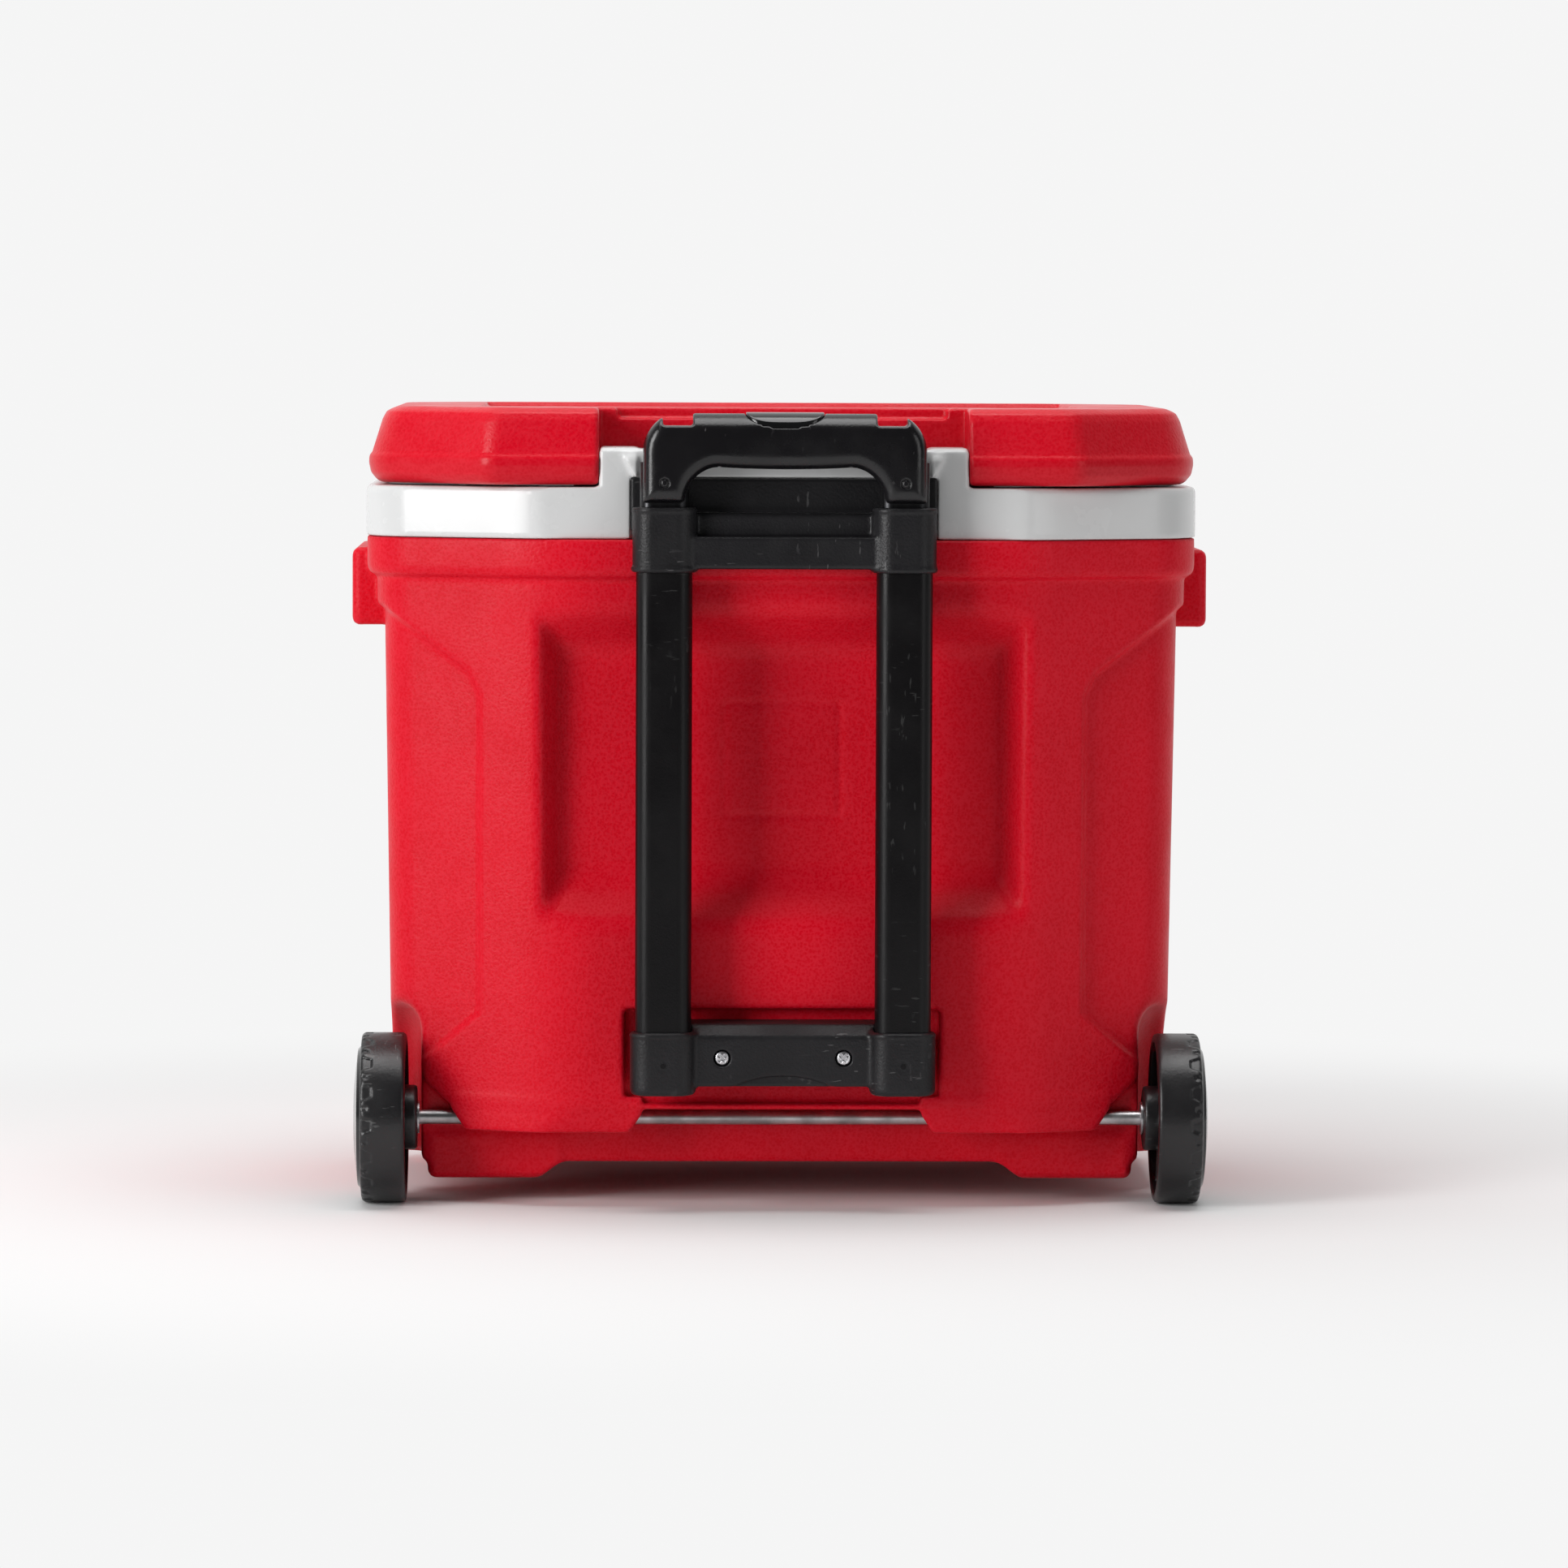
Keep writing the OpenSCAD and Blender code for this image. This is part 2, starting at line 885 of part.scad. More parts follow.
// Guide shoe in the lower end of an inner tube, which holds the lock pin
module inner_foot_form() {
  neck = 12;
  translate([tube_x, tube_y, 0])
    difference() {
      union() {
        obround(inner_w, inner_t, foot_base, inner_base - foot_base);
        obround(
          inner_w - 2 * inner_wall - 0.2, inner_t - 2 * inner_wall - 0.2,
          inner_base - eps, neck
        );
      }
      // Cross bore for the lock pin and its spring
      rod_y(-inner_t, inner_t / 2 - 1.5, rod_offset, pin_z, 4.4);
      // Passage for the push rod
      translate([rod_offset, 0, inner_base - 4])
        cylinder(h = neck + 5, d = 4.4);
    }
}

module inner_foot_left() {
  color(BLACK)
    inner_foot_form();
}

module inner_foot_right() {
  color(BLACK)
    mirror([1, 0, 0])
      inner_foot_form();
}

module lock_pin_form() {
  rod_y(
    tube_y - inner_t / 2 + 0.1, tube_y - inner_t / 2 + 5,
    tube_x + rod_offset, pin_z, 4.24
  );
}

module lock_pin_left() {
  color(STEEL)
    lock_pin_form();
}

module lock_pin_right() {
  color(STEEL)
    mirror([1, 0, 0])
      lock_pin_form();
}

module lock_springs() {
  length = inner_t - 1.5 - 5 - 0.4;
  color(STEEL)
    both_sides()
      translate([tube_x + rod_offset, tube_y - inner_t / 2 + 5.2, pin_z])
        rotate([-90, 0, 0])
          coil(3.6, 0.5, length, 5);
}

// ---------- grip ----------

// Front outline of the grip: legs, arched underside, notched top
module grip_outline() {
  half = grip_w / 2;
  height = grip_top - grip_base;
  arch_h = 20;
  arch_half = 55;
  arch_corner = 20;
  horn = 10;
  round_r = 10;
  notch_drop = 7;
  notch_w = 16;
  difference() {
    union() {
      translate([-half, 0])
        square([2 * half, height - round_r - 4]);
      for (s = [-1, 1])
        translate([s * (half - round_r), height - round_r - 4])
          circle(r = round_r);
      translate([-half + round_r, 0])
        square([2 * half - 2 * round_r, height - 4]);
      translate([-half + horn + notch_w, 0])
        square([2 * (half - horn - notch_w), height]);
    }
    for (s = [-1, 1])
      translate([s * (half - horn - notch_w / 2), height])
        square([notch_w, 2 * notch_drop], center = true);
    translate([-arch_half, -over])
      square([2 * arch_half, arch_h - arch_corner + over]);
    translate([-arch_half + arch_corner, -over])
      square([2 * (arch_half - arch_corner), arch_h + over]);
    for (s = [-1, 1])
      translate([s * (arch_half - arch_corner), arch_h - arch_corner])
        circle(r = arch_corner);
  }
}

// Spaces inside the grip: tube sockets, yoke channel and button well
module grip_hollow() {
  channel_z = grip_inner_top - 6 - button_travel - 1;
  both_sides()
    translate([tube_x, tube_y, 0])
      obround(inner_w + 0.2, inner_t + 0.2, grip_base - over, inner_top - grip_base + 1.2);
  box(
    [-tube_x - 6, tube_y - 5.5, channel_z],
    [tube_x + 6, tube_y + 5.5, grip_inner_top + 5]
  );
  translate([0, tube_y, 0])
    button_outline(0.4, grip_inner_top - 10, 40);
  both_sides()
    rod_y(tube_y - grip_t, tube_y + grip_t, tube_x, grip_pin_z, 3);
  for (s = [-1, 1])
    rod_y(tube_y - grip_t / 2 + 3, tube_y + 9, s * grip_screw_x, grip_screw_z, 2.6);
}

// Pointed-oval outline of the button, standing on z
module button_outline(gap, z, h) {
  arc_r = 33.5;
  arc_off = arc_r - 8;
  translate([0, 0, z])
    linear_extrude(h)
      intersection() {
        translate([0, arc_off])
          circle(r = arc_r + gap, $fn = 96);
        translate([0, -arc_off])
          circle(r = arc_r + gap, $fn = 96);
      }
}

module grip_half(y0, y1) {
  difference() {
    intersection() {
      translate([0, tube_y + grip_t / 2, grip_base])
        rotate([90, 0, 0])
          linear_extrude(grip_t)
            grip_outline();
      box([-grip_w, y0, grip_base - over], [grip_w, y1, grip_top + over]);
    }
    grip_hollow();
  }
}

module grip_rear_shell() {
  color(BLACK)
    grip_half(tube_y, tube_y + grip_t / 2);
}

module grip_front_shell() {
  color(BLACK)
    grip_half(tube_y - grip_t / 2, tube_y);
}

// Cross pins that hold the inner tubes in the grip
module grip_pins() {
  color(BLACK)
    both_sides()
      rod_y(
        tube_y - grip_t / 2 + 0.4, tube_y + grip_t / 2 - 0.4,
        tube_x, grip_pin_z, 3
      );
}

// Screws that close the grip's two halves, driven from the front
module grip_screws() {
  color(STEEL)
    for (s = [-1, 1])
      rod_y(tube_y - grip_t / 2 + 3, tube_y + 8, s * grip_screw_x, grip_screw_z, 2.6);
}

// ---------- release mechanism ----------

module release_button() {
  color(BLACK)
    intersection() {
      translate([0, tube_y, 0])
        button_outline(0, grip_inner_top + 0.1, 20);
      // Crowned top
      translate([0, tube_y, grip_top + 0.8 - 150])
        rotate([90, 0, 0])
          cylinder(r = 150, h = grip_t, center = true, $fn = 360);
    }
}

// Bar inside the grip that joins the button to both push rods
module release_yoke() {
  color(BLACK)
    difference() {
      box(
        [-tube_x - 4, tube_y - 4, grip_inner_top - 6],
        [tube_x + 4, tube_y + 4, grip_inner_top]
      );
      for (s = [-1, 1])
        translate([s * (tube_x + rod_offset), tube_y, grip_inner_top - 7])
          cylinder(h = 5, d = 3);
    }
}

module push_rod_form() {
  translate([tube_x + rod_offset, tube_y, inner_base + 6])
    cylinder(h = grip_inner_top - 2 - inner_base - 6, d = 3);
}

module push_rod_left() {
  color(STEEL)
    push_rod_form();
}

module push_rod_right() {
  color(STEEL)
    mirror([1, 0, 0])
      push_rod_form();
}

module button_spring() {
  color(STEEL)
    translate([0, tube_y, grip_inner_top - 6 - button_travel - 1])
      coil(7, 0.8, button_travel + 0.9, 3);
}

body_shell();
body_foam();
liner();
lid_shell();
lid_foam();
lid_liner();
hinge_pins();
axle();
axle_washers();
axle_push_nuts();
wheel_left();
wheel_right();
wheel_cover_left();
wheel_cover_right();
upper_bracket();
lower_bracket();
upper_bracket_screws();
lower_bracket_screws();
lower_bracket_pins();
outer_tube_left();
outer_tube_right();
tube_end_plugs();
inner_tube_left();
inner_tube_right();
inner_foot_left();
inner_foot_right();
grip_rear_shell();
grip_front_shell();
grip_pins();
grip_screws();
release_button();
release_yoke();
push_rod_left();
push_rod_right();
lock_pin_left();
lock_pin_right();
button_spring();
lock_springs();
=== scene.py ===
"""Looks of the cooler on wheels: moulded pieces, materials, studio and camera."""

import math

import bpy
import numpy as np
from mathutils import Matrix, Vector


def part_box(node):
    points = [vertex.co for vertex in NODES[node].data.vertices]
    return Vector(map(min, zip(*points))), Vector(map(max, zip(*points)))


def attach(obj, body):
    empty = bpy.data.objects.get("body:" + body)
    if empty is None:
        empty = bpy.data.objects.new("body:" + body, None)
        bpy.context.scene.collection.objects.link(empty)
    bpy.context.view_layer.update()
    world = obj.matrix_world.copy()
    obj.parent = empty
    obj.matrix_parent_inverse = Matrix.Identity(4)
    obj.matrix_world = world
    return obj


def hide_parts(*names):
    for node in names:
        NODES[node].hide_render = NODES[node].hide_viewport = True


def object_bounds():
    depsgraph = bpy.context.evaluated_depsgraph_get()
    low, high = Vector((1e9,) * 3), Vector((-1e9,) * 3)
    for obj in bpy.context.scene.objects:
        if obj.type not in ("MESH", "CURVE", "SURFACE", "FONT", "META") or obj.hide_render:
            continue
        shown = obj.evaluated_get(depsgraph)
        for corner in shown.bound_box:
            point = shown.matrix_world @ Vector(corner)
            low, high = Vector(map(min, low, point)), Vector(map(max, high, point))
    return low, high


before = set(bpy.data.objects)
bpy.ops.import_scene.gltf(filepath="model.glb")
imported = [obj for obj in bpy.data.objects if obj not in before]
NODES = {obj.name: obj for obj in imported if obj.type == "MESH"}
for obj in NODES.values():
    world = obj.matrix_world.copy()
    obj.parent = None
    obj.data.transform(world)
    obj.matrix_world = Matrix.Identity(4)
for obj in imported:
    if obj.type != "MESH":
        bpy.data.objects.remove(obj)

import openvdb
from mathutils import Matrix, Vector

CAD_LOW, CAD_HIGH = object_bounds()
MM = 0.001


def corner(node, high):
    """A CAD node's lowest or highest corner, in millimetres."""
    return [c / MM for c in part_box(node)[1 if high else 0]]


def corners(node):
    """Both corners of a CAD node's box."""
    return corner(node, False), corner(node, True)


def middle(node, axis):
    """The middle of a CAD node's box along one axis."""
    low, high = corners(node)
    return (low[axis] + high[axis]) / 2


# ---------- places taken from the frame, in millimetres ----------

WIDEST = CAD_HIGH[0] / MM
FRONT, REAR = corner("liner", False)[1], corner("liner", True)[1]
MID = (REAR + FRONT) / 2
SIDE = corner("liner", True)[0]
RIM_TOP = corner("body_shell", True)[2]
LID_BASE = corner("lid_liner", True)[2] - 2.5
LID_TOP = corner("lid_shell", True)[2]
COLLAR_TOP = LID_BASE - 0.6
LIP_FRONT = corner("lid_shell", False)[1]
HINGE_Y, HINGE_Z = middle("hinge_pins", 1), middle("hinge_pins", 2)
WHEEL_LOW, WHEEL_HIGH = corners("wheel_left")
WHEEL_R = (WHEEL_HIGH[2] - WHEEL_LOW[2]) / 2
AXLE_Y, AXLE_Z = middle("wheel_left", 1), WHEEL_R
TUBE_LOW, TUBE_HIGH = corners("outer_tube_left")
TUBE_X, TUBE_Y = middle("outer_tube_left", 0), middle("outer_tube_left", 1)
UPPER_LOW, UPPER_HIGH = corners("upper_bracket")
LOWER_LOW, LOWER_HIGH = corners("lower_bracket")
SCREW_LOW, SCREW_HIGH = corners("lower_bracket_screws")
GRIP_LOW, GRIP_HIGH = corner("grip_front_shell", False), corner("grip_rear_shell", True)
GRIP_Y = corner("grip_rear_shell", False)[1]


# ---------- driving dimensions of the tub's outside, in millimetres ----------

# Outline from above: a flat face, a slanted one, then a corner arc that ends CORNER_BACK from the face
FLAT_HALF = 130
CORNER_R = 42
CORNER_BACK = 73.6
# Section of the wall: a rim band 22 high, a shoulder under it, then a wall that leans in to the base
RIM_BASE = RIM_TOP - 22
BASE_Z = 22
SHOULDER_IN = 6
WALL_DRAFT = 5
# The flat rear face just under the shoulder
FACE = REAR - SHOULDER_IN
# How far cutting shapes run past the mouldings
PAST = 40


# ---------- signed distances, in millimetres ----------


def smin(a, b, k):
    """Union with a fillet about k wide."""
    h = np.clip(0.5 + 0.5 * (b - a) / k, 0, 1)
    return b * (1 - h) + a * h - k * h * (1 - h)


def smax(a, b, k):
    """Intersection with a rounded edge about k wide."""
    return -smin(-a, -b, k)


def cut(a, b, k):
    """a without b, with a rounded edge."""
    return smax(a, -b, k)


def ramp(low, high, t):
    """Smooth step from 0 at low to 1 at high."""
    u = np.clip((t - low) / (high - low), 0, 1)
    return u * u * (3 - 2 * u)


def slab(t, low, high):
    """Distance to the layer between two planes."""
    return abs(t - (low + high) / 2) - (high - low) / 2


def tilted(a, b, p, q):
    """Distance to the plane where a * p + b * q is 0."""
    return (a * p + b * q) / math.hypot(p, q)


def from_line(u, v, centre_u, centre_v):
    """Distance from a line that runs along the axis that u and v leave out."""
    return np.sqrt((u - centre_u) ** 2 + (v - centre_v) ** 2)


def brick(x, y, z, low, high, r):
    """A box with edges of radius r."""
    a = slab(x, low[0] + r, high[0] - r)
    b = slab(y, low[1] + r, high[1] - r)
    c = slab(z, low[2] + r, high[2] - r)
    zero = 0 * (a + b + c)
    outside = np.sqrt(np.maximum(a, 0) ** 2 + np.maximum(b, 0) ** 2 + np.maximum(c, 0) ** 2)
    return outside + np.minimum(np.maximum(np.maximum(a, b), c), zero) - r


def rounded_corner(a, b, r):
    """An edge of radius r, whose centre is where a and b are both 0."""
    return np.sqrt(np.maximum(a, 0) ** 2 + np.maximum(b, 0) ** 2) - r


def obround(x, y, w, t):
    """The round-ended outline of a flat tube, centred on a handle tube."""
    along = np.maximum(abs(x - TUBE_X) - (w - t) / 2, 0)
    return np.sqrt(along**2 + (y - TUBE_Y) ** 2) - t / 2


def ring_line(distance, radius, half_width):
    """A thin circle in a face, from the distance to its centre."""
    return abs(distance - radius) - half_width


def bowed(x, across, flat, centre, r, facet):
    """Distance to one quarter of a bowed outline: a flat face out to the point flat, a slanted
    face, and a corner arc of radius r round centre."""
    (px, py), (cx, cy) = flat, centre
    angle = math.atan2(cy - py, cx - px) + math.asin(r / math.hypot(cx - px, cy - py))
    slant = (across - py) * math.cos(angle) - (x - px) * math.sin(angle)
    arc = rounded_corner(x - cx, across - cy, r)
    inner = np.maximum(x - cx - r, smax(slant, across - py, facet))
    turn = np.arctan2(across - cy, x - cx)
    return np.where((turn >= 0) & (turn <= angle + math.pi / 2) & (x > cx), arc, inner)


def plan(x, y, flat_half=FLAT_HALF, facet=10):
    """The cooler's outline at its widest. x is from 0 up."""
    half_y = (REAR - FRONT) / 2
    centre = (SIDE - CORNER_R, half_y - CORNER_BACK)
    return bowed(x, abs(y - MID), (flat_half, half_y), centre, CORNER_R, facet)


def moulded(name, body, low, high, voxel, field, material, both=True, faces=None, stands_for=()):
    """A piece from a signed-distance field of x, y, z in millimetres. With both, the field is for
    x from 0 up and the piece is mirrored about X = 0."""
    band = 3 * voxel
    start = [(0 if both and i == 0 else low[i] - band) for i in range(3)]
    counts = [int(math.ceil((high[i] + band - start[i]) / voxel)) + 1 for i in range(3)]
    grid = [start[i] + voxel * np.arange(counts[i], dtype=np.float32) for i in range(3)]
    x = grid[0][:, None, None]
    y = grid[1][None, :, None]
    z = grid[2][None, None, :]
    values = np.clip(field(x, y, z), -band, band).astype(np.float32)
    if both:
        values = np.concatenate([values[:0:-1], values])
        start[0] = -grid[0][-1]
    volume = openvdb.FloatGrid(background=band)
    volume.copyFromArray(np.ascontiguousarray(values), tolerance=0)
    points, triangles, quads = volume.convertToPolygons(isovalue=0.0, adaptivity=0.0)
    points = (points * voxel + np.array(start, dtype=np.float32)) * MM
    mesh = bpy.data.meshes.new(name)
    mesh.from_pydata(points.tolist(), [], quads.tolist() + triangles.tolist())
    piece = bpy.data.objects.new(name, mesh)
    bpy.context.scene.collection.objects.link(piece)
    if faces and 2 * len(quads) > faces:
        thin = piece.modifiers.new("thin", "DECIMATE")
        thin.ratio = faces / (2 * len(quads))
        graph = bpy.context.evaluated_depsgraph_get()
        mesh = bpy.data.meshes.new_from_object(piece.evaluated_get(graph))
        piece.modifiers.clear()
        piece.data = mesh
    mesh.shade_smooth()
    mesh.materials.append(material)
    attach(piece, body)
    if stands_for:
        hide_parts(*stands_for)


# ---------- materials ----------


def new_material(name):
    """A node material; returns it with its tree and its shader."""
    material = bpy.data.materials.new(name)
    material.use_nodes = True
    return material, material.node_tree, material.node_tree.nodes["Principled BSDF"]


def math_node(tree, operation, a, b):
    """A Math node of two sockets or numbers."""
    node = tree.nodes.new("ShaderNodeMath")
    node.operation = operation
    for i, value in enumerate((a, b)):
        if isinstance(value, (int, float)):
            node.inputs[i].default_value = value
        else:
            tree.links.new(value, node.inputs[i])
    return node.outputs[0]


def mapped(tree, source, from_low, from_high, to_low, to_high):
    """source rescaled and clamped."""
    node = tree.nodes.new("ShaderNodeMapRange")
    node.interpolation_type = "SMOOTHSTEP"
    tree.links.new(source, node.inputs["Value"])
    for key, value in (
        ("From Min", from_low), ("From Max", from_high), ("To Min", to_low), ("To Max", to_high)
    ):
        node.inputs[key].default_value = value
    return node.outputs["Result"]


def noise(tree, scale, detail=3.0, rough=0.55, stretch=None, seed=0.0):
    """Noise over the piece's own coordinates, in cells per metre."""
    coords = tree.nodes.new("ShaderNodeTexCoord").outputs["Object"]
    if stretch or seed:
        shift = tree.nodes.new("ShaderNodeMapping")
        shift.inputs["Scale"].default_value = stretch or (1, 1, 1)
        shift.inputs["Location"].default_value = (seed, seed * 0.7, -seed)
        tree.links.new(coords, shift.inputs["Vector"])
        coords = shift.outputs["Vector"]
    node = tree.nodes.new("ShaderNodeTexNoise")
    node.inputs["Scale"].default_value = scale
    node.inputs["Detail"].default_value = detail
    node.inputs["Roughness"].default_value = rough
    tree.links.new(coords, node.inputs["Vector"])
    return node.outputs["Fac"]


def cells(tree, scale):
    """Rounded grain cells, in cells per metre."""
    coords = tree.nodes.new("ShaderNodeTexCoord").outputs["Object"]
    node = tree.nodes.new("ShaderNodeTexVoronoi")
    node.feature = "SMOOTH_F1"
    node.inputs["Scale"].default_value = scale
    node.inputs["Smoothness"].default_value = 0.4
    tree.links.new(coords, node.inputs["Vector"])
    return node.outputs["Distance"]


def scratches(tree, scale, amount, stretch, seed):
    """Thin stray lines, 0 or 1: rare crests of a stretched noise."""
    lines = noise(tree, scale, detail=2.0, stretch=stretch, seed=seed)
    patches = noise(tree, scale * 0.12, detail=1.0, seed=seed + 3)
    thin = mapped(tree, lines, 0.72 - amount, 0.76 - amount, 0, 1)
    return math_node(tree, "MULTIPLY", thin, mapped(tree, patches, 0.52, 0.62, 0, 1))


def mix_colour(tree, factor, a, b):
    """a to b by the socket factor. a and b are colours or sockets."""
    node = tree.nodes.new("ShaderNodeMix")
    node.data_type = "RGBA"
    tree.links.new(factor, node.inputs["Factor"])
    for key, value in (("A", a), ("B", b)):
        socket = [s for s in node.inputs if s.name == key and s.type == "RGBA"][0]
        if isinstance(value, tuple):
            socket.default_value = (*value, 1)
        else:
            tree.links.new(value, socket)
    return [s for s in node.outputs if s.type == "RGBA"][0]


def height(tree):
    """The z coordinate of the piece at rest, in metres."""
    coords = tree.nodes.new("ShaderNodeTexCoord").outputs["Object"]
    split = tree.nodes.new("ShaderNodeSeparateXYZ")
    tree.links.new(coords, split.inputs[0])
    return split.outputs["Z"]


def bump(tree, shader, source, distance, strength):
    """Bump from a height socket. strength is a number or a socket."""
    node = tree.nodes.new("ShaderNodeBump")
    node.inputs["Distance"].default_value = distance
    if isinstance(strength, (int, float)):
        node.inputs["Strength"].default_value = strength
    else:
        tree.links.new(strength, node.inputs["Strength"])
    tree.links.new(source, node.inputs["Height"])
    tree.links.new(node.outputs["Normal"], shader.inputs["Normal"])


def worn(tree, low=0.52, high=0.58):
    """1 on convex edges, where handling has worn the surface."""
    geometry = tree.nodes.new("ShaderNodeNewGeometry")
    return mapped(tree, geometry.outputs["Pointiness"], low, high, 0, 1)


def plastic(
    name, colour, deep, rough, grain, grain_depth, *, wear_and_glint,
    coat=0.0, shine=0.3, scuffs=0.3, edges=0.35, painted_glint=0.0, smooth_below=None,
):
    """Moulded plastic: colour drift, grain, scuffs and worn edges, and with a glint amount a painted
    highlight on the grain's crests. grain is in cells per metre and grain_depth in metres. smooth_below is
    two heights between which the grain sets in."""
    material, tree, shader = new_material(name)
    drift = mapped(tree, noise(tree, 14, seed=2.0), 0.35, 0.65, 0, 1)
    tone = mix_colour(tree, drift, deep, colour)
    level = scratches(tree, 90, 0.06, (1, 1, 6), 5.0)
    upright = scratches(tree, 70, 0.06, (5, 1, 1.4), 9.0)
    marks = math_node(tree, "MAXIMUM", level, upright)
    tone = mix_colour(tree, math_node(tree, "MULTIPLY", marks, scuffs), tone, wear_and_glint)
    edge = math_node(tree, "MULTIPLY", worn(tree), edges)
    tone = mix_colour(tree, edge, tone, wear_and_glint)
    fine = noise(tree, grain, detail=2.5)
    pebble = cells(tree, grain * 0.62)
    relief = math_node(tree, "ADD", math_node(tree, "MULTIPLY", pebble, 0.8), fine)
    # Painted highlight: the grain's crests are lightened towards the wear colour, standing in for light
    # glinting off the grain.
    if painted_glint:
        glint_mask = math_node(tree, "MULTIPLY", mapped(tree, relief, 0.6, 1.1, 0, 1), painted_glint)
        tone = mix_colour(tree, glint_mask, tone, wear_and_glint)
    tree.links.new(tone, shader.inputs["Base Color"])
    smudge = mapped(tree, noise(tree, 34, detail=4.0, seed=7.0), 0.35, 0.7, rough - 0.05, rough + 0.07)
    tree.links.new(smudge, shader.inputs["Roughness"])
    strength = 1.0
    if smooth_below:
        strength = mapped(tree, height(tree), smooth_below[0] * MM, smooth_below[1] * MM, 0.12, 1.0)
    bump(tree, shader, relief, grain_depth, strength)
    shader.inputs["Coat Weight"].default_value = coat
    shader.inputs["Coat Roughness"].default_value = 0.12
    shader.inputs["IOR"].default_value = 1.5
    shader.inputs["Specular IOR Level"].default_value = shine
    return material


def metal(name, colour, rough, streak, depth):
    """Bare steel with streaks along one direction and dull patches."""
    material, tree, shader = new_material(name)
    shader.inputs["Metallic"].default_value = 1.0
    lines = noise(tree, 260, detail=3.0, stretch=streak)
    patches = noise(tree, 60, detail=4.0, seed=4.0)
    dull = tuple(c * 0.55 for c in colour)
    blotches = mapped(tree, patches, 0.35, 0.7, 0, 1)
    tree.links.new(mix_colour(tree, blotches, colour, dull), shader.inputs["Base Color"])
    half_lines = math_node(tree, "MULTIPLY", lines, 0.5)
    half_patches = math_node(tree, "MULTIPLY", patches, 0.5)
    both = math_node(tree, "ADD", half_lines, half_patches)
    tree.links.new(mapped(tree, both, 0.3, 0.7, rough - 0.1, rough + 0.15), shader.inputs["Roughness"])
    bump(tree, shader, lines, depth, 0.5)
    return material


# The glint amount on the red body paints a highlight onto the grain's crests.
RED = plastic(
    "red_grained", (0.63, 0.0005, 0.012), (0.59, 0.0004, 0.010), 0.40, 900, 0.00012, shine=0.12,
    wear_and_glint=(0.74, 0.03, 0.055), scuffs=0.12, painted_glint=0.32,
)
# The glint amount on the red lid paints a highlight onto the grain's crests.
RED_LID = plastic(
    "red_leather", (0.60, 0.0005, 0.012), (0.56, 0.0004, 0.010), 0.34, 800, 0.00013,
    wear_and_glint=(0.72, 0.03, 0.05), scuffs=0.15, painted_glint=0.25, shine=0.2,
    smooth_below=(LID_BASE + 15, LID_BASE + 18),
)
WHITE = plastic(
    "white_gloss", (0.66, 0.665, 0.665), (0.64, 0.645, 0.645), 0.24, 60, 0.00006, coat=0.3,
    wear_and_glint=(0.62, 0.62, 0.61), scuffs=0.1,
)
WHITE_INNER = plastic(
    "white_inner", (0.66, 0.665, 0.665), (0.64, 0.645, 0.645), 0.3, 60, 0.00004, coat=0.2,
    wear_and_glint=(0.62, 0.62, 0.61), scuffs=0.05, edges=0.0,
)
BLACK = plastic(
    "black_satin", (0.006, 0.0055, 0.0065), (0.004, 0.0036, 0.0045), 0.27, 1100, 0.00004,
    wear_and_glint=(0.06, 0.058, 0.06), shine=0.45, scuffs=0.9,
)
BRACKET = plastic(
    "black_bracket", (0.011, 0.0105, 0.012), (0.007, 0.0065, 0.0075), 0.42, 1000, 0.00012,
    wear_and_glint=(0.07, 0.068, 0.07), shine=0.3, scuffs=1.0,
)
TREAD = plastic(
    "black_tread", (0.010, 0.0095, 0.0105), (0.007, 0.0065, 0.0075), 0.34, 700, 0.00005,
    wear_and_glint=(0.09, 0.09, 0.09), shine=0.5, scuffs=0.7,
)
GLOSS = plastic(
    "black_gloss", (0.006, 0.006, 0.0065), (0.004, 0.004, 0.0045), 0.2, 400, 0.00002, coat=0.4,
    wear_and_glint=(0.04, 0.04, 0.04), scuffs=0.3, edges=0.0,
)
TUBE = plastic(
    "black_paint", (0.005, 0.0045, 0.005), (0.0035, 0.003, 0.0035), 0.33, 1600, 0.00004,
    wear_and_glint=(0.05, 0.05, 0.05), shine=0.2, scuffs=0.5, edges=0.0,
)
STEEL = metal("steel_rod", (0.62, 0.62, 0.63), 0.34, (0.06, 1, 1), 0.00008)
ZINC = metal("zinc", (0.66, 0.66, 0.68), 0.3, (1, 1, 1), 0.000008)
# Near-black steel for the inner tubes, set as dark as the gap between grip and sleeves where they show.
DARK_STEEL = metal("near_black_steel", (0.05, 0.05, 0.053), 0.3, (1, 1, 0.05), 0.00003)


# ---------- the cavity ----------

CAVITY_FLOOR = 69
CAVITY_FLAT_HALF = 110
CAVITY_CENTRE = (166, 83.5)
CAVITY_CORNER_R = 30
CAVITY_DRAFT = 3.6
# From the cooler's faces to the cavity, foam and both walls together
REAR_WALL, FRONT_WALL = 53, 27
LINER_WALL = 2.5


def cavity(x, y, z):
    """The cold cavity, a little narrower towards its floor."""
    rear_flat = (CAVITY_FLAT_HALF, REAR - REAR_WALL - MID)
    front_flat = (CAVITY_FLAT_HALF, MID - FRONT - FRONT_WALL)
    rear = bowed(x, y - MID, rear_flat, CAVITY_CENTRE, CAVITY_CORNER_R, 4)
    front = bowed(x, MID - y, front_flat, CAVITY_CENTRE, CAVITY_CORNER_R, 4)
    draft = CAVITY_DRAFT * (COLLAR_TOP - z) / (COLLAR_TOP - CAVITY_FLOOR)
    return np.where(y > MID, rear, front) + draft


# ---------- the red tub ----------

